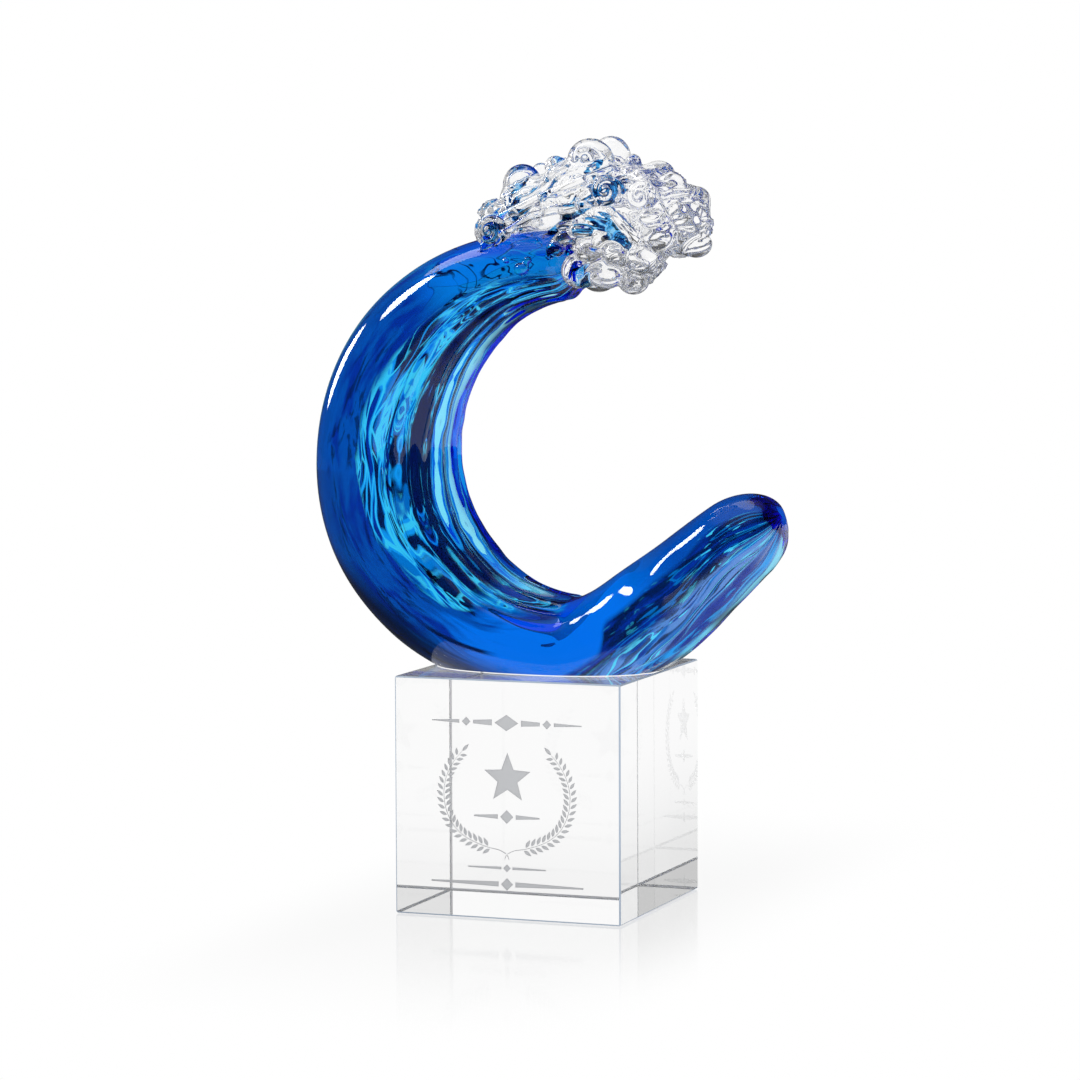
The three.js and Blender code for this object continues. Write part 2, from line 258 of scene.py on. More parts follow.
LOWEST = CURL_CENTRE - np.array([0.0, CURL_RADIUS])
TIP = LOWEST + TONGUE_REACH
TIP_TRAVEL = np.array([math.cos(math.radians(TIP_SLOPE)), math.sin(math.radians(TIP_SLOPE))])
TONGUE_POINTS = (TIP, TIP - TIP_LEAD * TIP_TRAVEL, LOWEST + np.array([TONGUE_LEAD_OUT, 0.0]), LOWEST)
CURL_LENGTH = CURL_RADIUS * math.radians(270 - NECK_ANGLE)
NECK_END = CURL_CENTRE + CURL_RADIUS * np.array([
    math.cos(math.radians(NECK_ANGLE)),
    math.sin(math.radians(NECK_ANGLE)),
])
NECK_PLACE = np.array([NECK_END[0], 0.0, NECK_END[1]])


def tongue_curve(t):
    """Cubic Bezier curve through the tongue's four points, and its direction, at parameter t."""
    a, b, c, d = TONGUE_POINTS
    t = t[..., None]
    s = 1 - t
    place = s**3 * a + 3 * s**2 * t * b + 3 * s * t**2 * c + t**3 * d
    travel = 3 * s**2 * (b - a) + 6 * s * t * (c - b) + 3 * t**2 * (d - c)
    return place, travel / np.linalg.norm(travel, axis=-1, keepdims=True)


tongue_steps = np.linspace(0, 1, 2001)
tongue_places = tongue_curve(tongue_steps)[0]
tongue_run = np.concatenate([[0], np.cumsum(np.linalg.norm(np.diff(tongue_places, axis=0), axis=1))])
TONGUE_LENGTH = float(tongue_run[-1])


def midline(at):
    """Place and direction in (x, z), and distance to the tip and to the neck, at station at.

    Below 0 the place is on the tongue's curve by arc length, above 0 on the round curl. Past
    either end it goes straight on."""
    share = np.where(at < 0, at + 1, at)
    within = np.clip(share, 0, 1)
    t = np.interp(within * TONGUE_LENGTH, tongue_run, tongue_steps)
    tongue_place, tongue_travel = tongue_curve(t)
    turn = np.radians(270 - within * (270 - NECK_ANGLE))
    curl_place = CURL_CENTRE + CURL_RADIUS * np.stack([np.cos(turn), np.sin(turn)], -1)
    curl_travel = np.stack([np.sin(turn), -np.cos(turn)], -1)
    on_tongue = (at < 0)[..., None]
    travel = np.where(on_tongue, tongue_travel, curl_travel)
    length = np.where(at < 0, TONGUE_LENGTH, CURL_LENGTH)
    place = np.where(on_tongue, tongue_place, curl_place) + travel * ((share - within) * length)[..., None]
    to_tip = np.where(at < 0, share * TONGUE_LENGTH, np.inf)
    to_neck = np.where(at < 0, np.inf, (1 - share) * CURL_LENGTH)
    return place, travel, to_tip, to_neck


def station_values(at):
    """The five values of STATIONS at station at, by cubic Hermite pieces with smooth slopes."""
    places = STATIONS[:, 0]
    step = np.diff(places)
    piece = np.clip(np.searchsorted(places, at) - 1, 0, len(places) - 2)
    t = np.clip((at - places[piece]) / step[piece], 0, 1)
    found = []
    for values in STATIONS[:, 1:].T:
        rise = np.diff(values) / step
        slope = np.concatenate([
            rise[:1],
            (rise[:-1] * step[1:] + rise[1:] * step[:-1]) / (step[1:] + step[:-1]),
            rise[-1:],
        ])
        found.append(
            (2 * t**3 - 3 * t**2 + 1) * values[piece]
            + (t**3 - 2 * t**2 + t) * step[piece] * slope[piece]
            + (3 * t**2 - 2 * t**3) * values[piece + 1]
            + (t**3 - t**2) * step[piece] * slope[piece + 1]
        )
    return found


def end_rounding(distance, rounding):
    """Quarter ellipse from 0 at the end to 1 where the rounding is past."""
    left = np.clip(1 - distance / rounding, 0, 1)
    return np.sqrt(np.clip(1 - left * left, 0, None))


def lattice_noise(along, around, cells_around, seed):
    """Smooth value noise from -1 to 1: random values on a lattice, blended by cubic steps.

    along counts cells along the wave, around is the turn from 0 to 1, on which it repeats."""
    table = np.random.default_rng(seed).uniform(-1, 1, (256, cells_around))
    u, v = along + 64.0, (around % 1.0) * cells_around
    i, j = np.floor(u).astype(int), np.floor(v).astype(int)
    fu, fv = u - i, v - j
    fu, fv = fu * fu * (3 - 2 * fu), fv * fv * (3 - 2 * fv)
    i, j = i % 256, j % cells_around
    i2, j2 = (i + 1) % 256, (j + 1) % cells_around
    low = table[i, j] * (1 - fv) + table[i, j2] * fv
    high = table[i2, j] * (1 - fv) + table[i2, j2] * fv
    return low * (1 - fu) + high * fu


def run_length(at):
    """Distance in millimetres along the mid-line from its lowest point."""
    return np.where(at < 0, at * TONGUE_LENGTH, at * CURL_LENGTH)


def flutes(at, phi):
    """Height of the flutes and ripples of the casing at station at and section angle phi.

    The flutes are a cosine across the inner face that sways along the wave. Ripples are noise
    whose cells are several times longer along the wave than across it."""
    angle = (phi + 180) % 360 - 180
    across = angle / FLUTE_SPREAD
    shown = np.cos(np.clip(across, -1, 1) * np.pi / 2).clip(0) ** 0.7 * smooth_step(at, -0.12, 0.12)
    sway = 0.05 * np.sin(2.2 * np.pi * at + 1) + 0.025 * np.sin(9 * at + 3 * across)
    flute = np.cos(np.pi * FLUTE_COUNT * (across + sway))
    mm = run_length(at)
    turn = angle / 360
    ripple = lattice_noise(mm / 11, turn + 0.012 * np.sin(mm / 9), 34, 3)
    ripple = ripple + 0.6 * lattice_noise(mm / 6, turn, 60, 4)
    under = smooth_step(np.abs(angle), 95, 130) * smooth_step(-at, 0.1, 0.4)
    ribs = lattice_noise(mm / 22, turn + 0.01 * np.sin(mm / 12), 44, 6)
    inner = shown * (FLUTE_DEPTH * flute + RIPPLE_DEPTH * ripple)
    swell = SWELL_HEIGHT * np.sin(2 * np.pi * (mm + 0.35 * angle) / SWELL_LENGTH)
    dents = DENT_DEPTH * np.sin(2 * np.pi * (mm - 0.12 * np.abs(angle)) / DENT_LENGTH)
    on_tongue = smooth_step(-at, 0.1, 0.4)
    inner = inner + (swell + dents) * on_tongue * smooth_step(90 - np.abs(np.abs(angle) - 90), 10, 70)
    return inner + under * RIB_DEPTH * ribs + 0.05 * lattice_noise(mm / 14, turn, 16, 5)


def core_ripples(at, phi):
    """Height of the core's own ripples: long noise cells along the wave, with half of the flutes."""
    mm = run_length(at)
    turn = phi / 360
    long = lattice_noise(mm / 18, turn + 0.02 * np.sin(mm / 13), 26, 8)
    fine = lattice_noise(mm / 7, turn, 52, 9)
    return CORE_RIPPLE * (long + 0.5 * fine) + 0.5 * flutes(at, phi)


def section_points(at, phi, sizes, roundings, insets, relief, bound=None):
    """Points of the wave's skin: a superellipse round the mid-line, phi degrees from the inner face,
    moved out by the relief and closed in by the roundings of the two ends. A point outside the
    superellipse of bound is drawn back on to it."""
    place, travel, to_tip, to_neck = midline(at)
    thick, depth, shift = sizes
    closed = end_rounding(to_tip - insets[0], roundings[0]) * end_rounding(to_neck - insets[1], roundings[1])
    angle = np.radians(phi)
    power = 2 / SECTION_FULLNESS
    inward = np.sign(np.cos(angle)) * np.abs(np.cos(angle)) ** power
    sideways = np.sign(np.sin(angle)) * np.abs(np.sin(angle)) ** power
    radial = shift + thick * inward + relief * np.cos(angle)
    side = depth * sideways + relief * np.sin(angle)
    if bound is not None:
        most, deepest, middle = bound
        reach = np.abs((radial - middle) / most) ** SECTION_FULLNESS
        reach = reach + np.abs(side / deepest) ** SECTION_FULLNESS
        share = np.maximum(reach, 1.0) ** (-1 / SECTION_FULLNESS)
        radial = middle + (radial - middle) * share
        side = side * share
    radial = closed * radial
    side = closed * side
    across, upward = travel[..., 1] * radial, -travel[..., 0] * radial
    return np.stack([place[..., 0] + across, side, place[..., 1] + upward], -1)


def wave_skin(core, clearance, grid=SKIN_GRID):
    """Grid of points of the casing's outside, or of the core with a clearance, with its two end
    points and the flow vector of each point: run length, cosine and sine of the section angle."""
    inset = END_WALL - clearance if core else 0.0
    start, stop = -1 + inset / TONGUE_LENGTH, 1 - inset / CURL_LENGTH
    rings, sides = grid
    even = (np.arange(rings) + 0.35) / (rings - 0.3)
    eased = even - 0.7 * np.sin(2 * np.pi * even) / (2 * np.pi)
    at, phi = np.meshgrid(start + (stop - start) * eased, np.arange(sides) * 360 / sides, indexing="ij")
    thick, depth, shift, back_wall, inner_wall = station_values(at)
    relief = flutes(at, phi)
    bound = None
    if core:
        wall = LEAST_WALL - clearance
        bound = (thick - wall + relief, depth - wall + relief, shift)
        thick = thick - (back_wall + inner_wall) / 2 + clearance
        depth = depth - SIDE_WALL + clearance
        shift = shift + (back_wall - inner_wall) / 2
        relief = core_ripples(at, phi)
    roundings = (TIP_ROUNDING - inset, NECK_ROUNDING - inset)
    points = section_points(at, phi, (thick, depth, shift), roundings, (inset, inset), relief, bound)
    ends = midline(np.array([start, stop]))[0]
    angle = np.radians(phi)
    flow = np.stack([run_length(at) / FLOW_UNIT, np.cos(angle), np.sin(angle)], -1)
    return points, np.stack([ends[:, 0], np.zeros(2), ends[:, 1]], -1), flow


def closed_grid(points, ends, first=0):
    """Vertices and faces of rings of points closed by one point at each end, counted from first."""
    rings, sides, _ = points.shape
    vertices = np.concatenate([points.reshape(-1, 3), ends])
    i, j = np.meshgrid(np.arange(rings - 1), np.arange(sides), indexing="ij")
    n = (j + 1) % sides
    ring, after = i * sides, (i + 1) * sides
    quads = np.stack([ring + j, ring + n, after + n, after + j], -1).reshape(-1, 4)
    j = np.arange(sides)
    n = (j + 1) % sides
    last = rings * sides
    start = np.stack([np.full(sides, last), n, j], -1)
    stop = np.stack([np.full(sides, last + 1), last - sides + j, last - sides + n], -1)
    return vertices, quads + first, np.concatenate([start, stop]) + first


def make_piece(name, vertices, quads, triangles, flow=None):
    """A mesh object from arrays in millimetres, shaded smooth, with its flow vectors if it has them."""
    mesh = bpy.data.meshes.new(name)
    mesh.vertices.add(len(vertices))
    mesh.vertices.foreach_set("co", (vertices * MM).ravel())
    corners = np.concatenate([quads.ravel(), triangles.ravel()])
    mesh.loops.add(len(corners))
    mesh.loops.foreach_set("vertex_index", corners)
    starts = np.concatenate([np.arange(len(quads)) * 4, len(quads) * 4 + np.arange(len(triangles)) * 3])
    mesh.polygons.add(len(starts))
    mesh.polygons.foreach_set("loop_start", starts)
    mesh.update(calc_edges=True)
    mesh.polygons.foreach_set("use_smooth", np.ones(len(starts), bool))
    if flow is not None:
        attribute = mesh.attributes.new("flow", "FLOAT_VECTOR", "POINT")
        attribute.data.foreach_set("vector", flow.ravel())
    mesh.validate()
    piece = bpy.data.objects.new(name, mesh)
    bpy.context.scene.collection.objects.link(piece)
    return piece


def grind_foot(piece, level):
    """Cuts the piece flat at a level and closes the cut with one flat face or ring."""
    work = bmesh.new()
    work.from_mesh(piece.data)
    everything = work.verts[:] + work.edges[:] + work.faces[:]
    cut = bmesh.ops.bisect_plane(
        work, geom=everything, plane_co=(0, 0, level * MM), plane_no=(0, 0, -1), clear_outer=True
    )
    edges = [item for item in cut["geom_cut"] if isinstance(item, bmesh.types.BMEdge)]
    filled = bmesh.ops.triangle_fill(work, edges=edges, use_beauty=True, normal=(0, 0, -1))
    for item in filled["geom"]:
        if isinstance(item, bmesh.types.BMFace):
            item.smooth = False
    for edge in edges:
        edge.smooth = False
    work.to_mesh(piece.data)
    work.free()


# Engraving


def smooth_line(points, count):
    """Points evenly spaced in length on the cubic line through the given ones."""
    slope = np.gradient(points, axis=0)
    share = np.linspace(0, len(points) - 1, 40 * len(points))
    at = np.clip(share.astype(int), 0, len(points) - 2)
    part = (share - at)[:, None]
    place = (
        (2 * part**3 - 3 * part**2 + 1) * points[at]
        + (part**3 - 2 * part**2 + part) * slope[at]
        + (3 * part**2 - 2 * part**3) * points[at + 1]
        + (part**3 - part**2) * slope[at + 1]
    )
    run = np.concatenate([[0], np.cumsum(np.linalg.norm(np.diff(place, axis=0), axis=1))])
    even = np.linspace(0, run[-1], count)
    return np.stack([np.interp(even, run, column) for column in place.T], -1)


def strip_outline(line, width):
    """Outline of a thin strip along a line, drawn to a third of its width at the end."""
    travel = np.gradient(line, axis=0)
    travel = travel / np.linalg.norm(travel, axis=1, keepdims=True)
    half = width / 2 * np.linspace(1, 0.34, len(line))[:, None]
    side = np.stack([-travel[:, 1], travel[:, 0]], -1) * half
    return np.concatenate([line - side, (line + side)[::-1]])


def leaf_outline(root, direction, length, width):
    """Outline of a leaf from its root: widest before its middle, pointed at both ends."""
    share = np.linspace(0, 1, 9)
    half = width / 2 * np.sin(np.pi * share**0.85)
    across = np.array([-direction[1], direction[0]])
    middle = root + direction * share[:, None] * length
    right, left = middle - across * half[:, None], middle + across * half[:, None]
    return np.concatenate([right, left[-2:0:-1]])


def engraved_outlines():
    """Closed outlines of everything engraved, none of which touches another."""
    line = smooth_line(BRANCH, 120)
    run = np.concatenate([[0], np.cumsum(np.linalg.norm(np.diff(line, axis=0), axis=1))])
    right = []
    for side, angle in ((-1, LEAF_ANGLE), (1, LEAF_ANGLE)):
        for index in range(LEAF_PAIRS):
            at = LEAF_FIRST + (index + (0.4 if side > 0 else 0)) * LEAF_EVERY
            if at > run[-1] - 0.6:
                continue
            root = np.array([np.interp(at, run, column) for column in line.T])
            ahead = np.array([np.interp(at + 0.3, run, column) for column in line.T]) - root
            ahead = ahead / np.linalg.norm(ahead)
            outward = side * np.array([-ahead[1], ahead[0]])
            lean = math.radians(angle)
            size = 1.1 - 0.2 * index / LEAF_PAIRS
            axis = ahead * math.cos(lean) + outward * math.sin(lean)
            right.append(leaf_outline(root + outward * 0.42, axis, LEAF_SIZE[0] * size, LEAF_SIZE[1] * size))
    last = (line[-1] - line[-3]) / np.linalg.norm(line[-1] - line[-3])
    right.append(leaf_outline(line[-1] + last * 0.3, last, *TOP_LEAF))
    for near, far, height, wide, narrow in BARS:
        right.append(np.array([
            [near, height - wide / 2], [far, height - narrow / 2],
            [far, height + narrow / 2], [near, height + wide / 2],
        ]))
    mirror = np.array([-1.0, 1.0])
    found = right + [(outline * mirror)[::-1] for outline in right]
    found.append(strip_outline(line, BRANCH_WIDTH))
    found.append(strip_outline(line[1:], BRANCH_WIDTH)[::-1] * mirror)
    found.append(strip_outline(smooth_line(BRANCH_TAIL, 6), BRANCH_WIDTH))
    found.append(strip_outline(smooth_line(BRANCH_TAIL, 6), BRANCH_WIDTH)[::-1] * mirror)
    for x, z, wide, high in LOZENGES:
        found.append(np.array([[x - wide / 2, z], [x, z - high / 2], [x + wide / 2, z], [x, z + high / 2]]))
    x, z, tip, dent = STAR
    turn = np.radians(90 + 36 * np.arange(10))
    reach = np.where(np.arange(10) % 2 == 0, tip, dent)
    found.append(np.stack([x + reach * np.cos(turn), z + reach * np.sin(turn)], -1))
    return found


# Crest

def value_noise(points, seed):
    """Smooth value noise from -1 to 1: random values at whole coordinates, blended by cubic steps."""
    table = np.random.default_rng(seed).uniform(-1, 1, (32, 32, 32)).astype(np.float32)
    cell = np.floor(points).astype(int)
    part = (points - cell).astype(np.float32)
    part = part * part * (3 - 2 * part)
    low, high = cell % 32, (cell + 1) % 32
    total = 0.0
    for corner in np.ndindex(2, 2, 2):
        place = [np.where(side, high[..., axis], low[..., axis]) for axis, side in enumerate(corner)]
        weight = 1.0
        for axis, side in enumerate(corner):
            weight = weight * (part[..., axis] if side else 1 - part[..., axis])
        total = total + weight * table[place[0], place[1], place[2]]
    return total


def smooth_least(first, second, blend):
    """The lesser of two distances, rounded where they meet."""
    share = np.clip(0.5 + 0.5 * (second - first) / blend, 0, 1)
    return second * (1 - share) + first * share - blend * share * (1 - share)


def ellipsoid_distance(points, form):
    """Distance to an ellipsoid, near its surface: k (k - 1) / g, with k the length of the point over
    the radii and g its length over their squares."""
    away = points - form[:3]
    over = np.linalg.norm(away / form[3:], axis=-1)
    return over * (over - 1) / np.maximum(np.linalg.norm(away / form[3:] ** 2, axis=-1), 1e-6)


def ridge_distance(points, line, radius):
    """Distance to a rounded bar along a line of points."""
    least = np.full(points.shape[:-1], np.inf)
    for start, stop in zip(line[:-1], line[1:]):
        along = stop - start
        share = np.clip((points - start) @ along / (along @ along), 0, 1)
        away = np.linalg.norm(points - start - share[..., None] * along, axis=-1)
        least = np.minimum(least, away)
    return least - radius


def neck_distance(points):
    """Distance to the casing's neck, near its surface, from its section's superellipse."""
    from_centre = points + np.array([NECK_END[0] - CURL_CENTRE[0], 0.0, NECK_END[1] - CURL_CENTRE[1]])
    turn = np.degrees(np.arctan2(from_centre[..., 2], from_centre[..., 0])) % 360
    at = (270 - turn) / (270 - NECK_ANGLE)
    thick, depth, shift = station_values(np.clip(at, 0.5, 1.0))[:3]
    radial = CURL_RADIUS - np.hypot(from_centre[..., 0], from_centre[..., 2]) - shift
    past = np.clip(1 - (1 - at) * CURL_LENGTH / NECK_ROUNDING, 0, None)
    section = np.abs(radial / thick) ** SECTION_FULLNESS + np.abs(points[..., 1] / depth) ** SECTION_FULLNESS
    over = np.sqrt(section ** (2 / SECTION_FULLNESS) + past * past)
    reach = np.sqrt(radial * radial + points[..., 1] ** 2 + (past * NECK_ROUNDING) ** 2)
    return (over - 1) * reach / np.maximum(over, 1e-6)


def froth_distance(points):
    """Distance to the froth before the neck's room is taken out, negative inside.

    Lumps are joined with a wide blend and folded by a sine whose phase noise bends. Beads and
    ridges are joined to them with a narrow blend, and some beads carry a coil: a cosine of the
    turn round the bead's middle plus the distance from it."""
    joined = ellipsoid_distance(points, CREST_LUMPS[0])
    for form in CREST_LUMPS[1:]:
        joined = smooth_least(joined, ellipsoid_distance(points, form), LUMP_BLEND)
    bend = value_noise(points / 9 + 5, 21) + 0.5 * value_noise(points / 4.5 + 9, 22)
    phase = (points @ np.array([-0.42, 0.25, 0.87])) / FOLD_LENGTH + 1.1 * bend
    fold = 1 - 2 * np.abs(np.sin(np.pi * phase))
    lump = value_noise(points / 5 + 2, 23)
    joined = joined - FOLD_HEIGHT * fold - 0.6 * lump
    for index, form in enumerate(CREST_BEADS):
        distance = ellipsoid_distance(points, form)
        for place, coils, height in CREST_COILS:
            if place == index:
                away = points - form[:3]
                angle = np.arctan2(away[..., 2], away[..., 0])
                coil = np.cos(angle + 2 * np.pi * coils * np.hypot(away[..., 0], away[..., 2]))
                distance = distance - height * coil * smooth_step(-away[..., 1], 0, 3)
        joined = smooth_least(joined, distance, BEAD_BLEND)
    for line, radius in CREST_RIDGES:
        joined = smooth_least(joined, ridge_distance(points, np.array(line, float), radius), BEAD_BLEND)
    return joined


def crest_distance(points):
    """Distance to the froth with the neck's room taken out."""
    return np.maximum(froth_distance(points), FUSED_GAP - neck_distance(points))


def surface_net(field, low, step):
    """Vertices and quads where a field on a grid changes sign.

    Each cell that the surface crosses gets one vertex, at the mean of the crossings on its edges.
    Each grid edge that it crosses gets one quad between the four cells round it."""
    cells = tuple(n - 1 for n in field.shape)
    total = np.zeros((*cells, 3), np.float32)
    count = np.zeros(cells, np.int32)
    crossings = []
    for axis in range(3):
        first = np.take(field, range(cells[axis]), axis)
        second = np.take(field, range(1, cells[axis] + 1), axis)
        crossed = (first < 0) != (second < 0)
        at = np.argwhere(crossed)
        share = first[crossed] / (first[crossed] - second[crossed])
        place = at.astype(np.float32)
        place[:, axis] += share
        others = [(axis + 1) % 3, (axis + 2) % 3]
        for back in np.ndindex(2, 2):
            cell = at.copy()
            cell[:, others[0]] -= back[0]
            cell[:, others[1]] -= back[1]
            np.add.at(total, tuple(cell.T), place)
            np.add.at(count, tuple(cell.T), 1)
        crossings.append((axis, others, at, first[crossed] < 0))
    used = count > 0
    number = np.cumsum(used.ravel()).reshape(cells) - 1
    vertices = total[used] / count[used][:, None] * step + low
    quads = []
    for axis, others, at, rising in crossings:
        corners = []
        for back in ((1, 1), (0, 1), (0, 0), (1, 0)):
            cell = at.copy()
            cell[:, others[0]] -= back[0]
            cell[:, others[1]] -= back[1]
            corners.append(number[tuple(cell.T)])
        corners = np.stack(corners, -1)
        quads.append(np.where(rising[:, None], corners, corners[:, ::-1]))
    return vertices, np.concatenate(quads)


def settled(vertices, distance):
    """Vertices moved along the distance's slope onto its zero, in two steps."""
    reach = 0.15
    for _ in range(2):
        here = distance(vertices)
        slope = np.stack([distance(vertices + reach * axis) - here for axis in np.eye(3)], -1) / reach
        steep = np.maximum((slope * slope).sum(-1), 0.25)
        vertices = vertices - np.clip(here / steep, -0.3, 0.3)[:, None] * slope
    return vertices


# Materials


def node(tree, kind, settings=None, **inputs):
    """A node of a kind with its settings, and inputs by name: a socket is linked, the rest is set.

    An underscore in an input's name stands for a space, and a leading i with a number for its place."""
    made = tree.nodes.new(kind)
    for key, value in (settings or {}).items():
        setattr(made, key, value)
    for key, value in inputs.items():
        place = int(key[1:]) if key[0] == "i" and key[1:].isdigit() else key.replace("_", " ")
        if isinstance(value, bpy.types.NodeSocket):
            tree.links.new(value, made.inputs[place])
        else:
            made.inputs[place].default_value = value
    return made


def math_node(tree, operation, first, second=0.0, third=0.0):
    return node(tree, "ShaderNodeMath", {"operation": operation}, i0=first, i1=second, i2=third).outputs[0]


def ramp_between(tree, value, low, high, start=0.0, stop=1.0):
    """Smooth step of a value from low to high, put out as start to stop."""
    made = node(
        tree,
        "ShaderNodeMapRange",
        {"interpolation_type": "SMOOTHSTEP"},
        Value=value,
        From_Min=low,
        From_Max=high,
        To_Min=start,
        To_Max=stop,
    )
    return made.outputs[0]


def mix_colours(tree, share, first, second):
    made = node(tree, "ShaderNodeMix", {"data_type": "RGBA"}, i0=share, i6=first, i7=second)
    return made.outputs[2]


def scaled(tree, vector, factors):
    """A vector times three factors."""
    return node(tree, "ShaderNodeVectorMath", {"operation": "MULTIPLY"}, i0=vector, i1=factors).outputs[0]


def between(tree, value, rise, fall):
    """1 while the value is past the rise and before the fall, each a (start, stop) pair."""
    up = ramp_between(tree, value, *rise)
    down = ramp_between(tree, value, *fall, 1.0, 0.0)
    return math_node(tree, "MULTIPLY", up, down)


def glass_tint_and_painted_light_group():
    """Node group: colour of the blue glass from the flow vector, with painted light in it.

    Places on the skin are the run along the wave and the turn from the inner face, in half turns.
    The limb is deep and mottled outside and has a network of bright lines round dark cells inside, which is
    painted refracted light; the low part is calm, and the tongue is dark below a curved line, with pale
    painted reflections under it."""
    tree = bpy.data.node_groups.new("glass_tint_and_painted_light", "ShaderNodeTree")
    for name in ("Deep", "Shade", "Middle", "Light", "Bright", "Calm", "Edge", "Lilac", "Window"):
        tree.interface.new_socket(name=name, in_out="INPUT", socket_type="NodeSocketColor")
    tree.interface.new_socket(name="Color", in_out="OUTPUT", socket_type="NodeSocketColor")
    given = tree.nodes.new("NodeGroupInput").outputs
    result = tree.nodes.new("NodeGroupOutput")
    flow = node(tree, "ShaderNodeAttribute", {"attribute_name": "flow"}).outputs["Vector"]
    parts = node(tree, "ShaderNodeSeparateXYZ", Vector=flow)
    run = parts.outputs["X"]
    turn = math_node(tree, "DIVIDE", math_node(tree, "ARCCOSINE", parts.outputs["Y"]), math.pi)
    slow = scaled(tree, flow, (0.7, 1.6, 1.6))
    wander = node(tree, "ShaderNodeTexNoise", Vector=slow, Scale=1.0, Detail=1.0).outputs["Color"]
    take = {"operation": "SUBTRACT"}
    centred = node(tree, "ShaderNodeVectorMath", take, i0=wander, i1=(0.5, 0.5, 0.5)).outputs[0]
    moved = scaled(tree, centred, (1.2, 0.6, 0.6))
    bent = node(tree, "ShaderNodeVectorMath", {"operation": "ADD"}, i0=flow, i1=moved).outputs[0]

    def both(first, second):
        return math_node(tree, "MULTIPLY", first, second)

    def plus(first, second):
        return math_node(tree, "ADD", first, second)

    def less(first, second):
        return math_node(tree, "SUBTRACT", first, second)

    def noise(stretch, detail=2.0):
        made = node(tree, "ShaderNodeTexNoise", Vector=scaled(tree, bent, stretch), Scale=1.0, Detail=detail)
        return made.outputs["Fac"]

    def cloud(stretch, low, high, detail=2.0):
        return ramp_between(tree, noise(stretch, detail), low, high)

    def cells(stretch, feature, output):
        place = scaled(tree, bent, stretch)
        made = node(tree, "ShaderNodeTexVoronoi", {"feature": feature}, Vector=place, Scale=1.0)
        return made.outputs[output]

    def painted_light_strands(stretch, width, spread, softness):
        """Walls between drawn-out cells, thicker and thinner by a slow noise, drawn as lines of painted
        refracted light.
        """
        thicker = both(cloud((0.6, 2.2, 2.2), 0.35, 0.65), spread)
        away = less(cells(stretch, "DISTANCE_TO_EDGE", "Distance"), thicker)
        return ramp_between(tree, away, width, width + softness, 1.0, 0.0)

    def lines(stretch, level, width):
        """Thin lines that run far along the wave: where stretched noise passes a level."""
        away = math_node(tree, "ABSOLUTE", less(noise(stretch), level))
        return ramp_between(tree, away, width, 2.5 * width, 1.0, 0.0)

    behind = ramp_between(tree, parts.outputs["Z"], -0.1, 0.1)
    before = less(1.0, behind)
    raised = ramp_between(tree, run, 0.9, 1.6)
    sway = both(less(noise((0.8, 1.5, 1.5)), 0.5), 0.2)
    # Deep glass outside, lighter at its edge, with short dark strokes
    body = mix_colours(tree, cloud((1.6, 5.0, 5.0), 0.4, 0.6), given["Deep"], given["Edge"])
    strokes = both(cloud((2.2, 12.0, 12.0), 0.53, 0.58, 3.0), cloud((0.7, 2.5, 2.5), 0.42, 0.5))
    strokes = both(strokes, between(tree, run, (1.4, 2.2), (5.4, 6.2)))
    body = mix_colours(tree, both(strokes, 0.85), body, given["Shade"])
    body = mix_colours(tree, ramp_between(tree, turn, 0.58, 0.68, 0.0, 0.8), body, given["Edge"])
    # Painted refracted light on the inner half of the front: a network of bright lines, as light bent by the
    # flutes, round cells
    limit = ramp_between(tree, run, 0.9, 1.9, 0.2, 0.39)
    band = ramp_between(tree, less(plus(limit, sway), turn), 0.0, 0.05)
    band = both(both(band, before), ramp_between(tree, run, -0.7, -0.3))
    cell_colour = cells(PAINTED_WEB_STRETCH, "F1", "Color")
    shade_of_cell = node(tree, "ShaderNodeSeparateColor", Color=cell_colour).outputs[0]
    painted_light_web = mix_colours(tree, ramp_between(tree, shade_of_cell, 0.2, 0.6), given["Middle"], given["Deep"])
    painted_light_web = mix_colours(tree, cloud((0.7, 7.0, 7.0), 0.47, 0.53), painted_light_web, given["Shade"])
    painted_light_web = mix_colours(tree, painted_light_strands(PAINTED_WEB_STRETCH, 0.0, 0.11, 0.05), painted_light_web, given["Light"])
    # Finer bright lines, more painted refracted light
    fine = both(painted_light_strands((1.5, 10.0, 10.0), 0.0, 0.09, 0.05), cloud((0.9, 3.0, 3.0), 0.46, 0.54))
    painted_light_web = mix_colours(tree, fine, painted_light_web, given["Bright"])
    painted_light_web = mix_colours(tree, painted_light_strands(PAINTED_WEB_STRETCH, -0.03, 0.07, 0.035), painted_light_web, given["Bright"])
    body = mix_colours(tree, band, body, painted_light_web)
    # Navy along the inner face, cut by long bright lines
    inner = both(raised, ramp_between(tree, turn, 0.08, 0.14, 1.0, 0.0))
    navy = both(inner, cloud((0.5, 6.0, 6.0), 0.36, 0.42))
    # Far side of the inner face, seen beside it: light blue, then clear with thin dark lines
    far = both(both(raised, behind), between(tree, turn, (0.08, 0.12), (0.5, 0.56)))
    clear = mix_colours(tree, lines((0.4, 7.0, 7.0), 0.5, 0.008), (1.0, 1.0, 1.0, 1.0), given["Shade"])
    sheet = mix_colours(tree, lines((0.35, 5.0, 5.0), 0.46, 0.012), given["Light"], (1.0, 1.0, 1.0, 1.0))
    sheet = mix_colours(tree, ramp_between(tree, turn, 0.42, 0.48), sheet, clear)
    # Glass of the other side, which only pales what is seen through it
    pale = both(behind, ramp_between(tree, turn, 0.05, 0.12))
    pale = math_node(tree, "MAXIMUM", pale, both(ramp_between(tree, turn, 0.8, 0.9), raised))
    body = mix_colours(tree, pale, body, given["Window"])
    body = mix_colours(tree, navy, body, given["Shade"])
    body = mix_colours(tree, far, body, sheet)
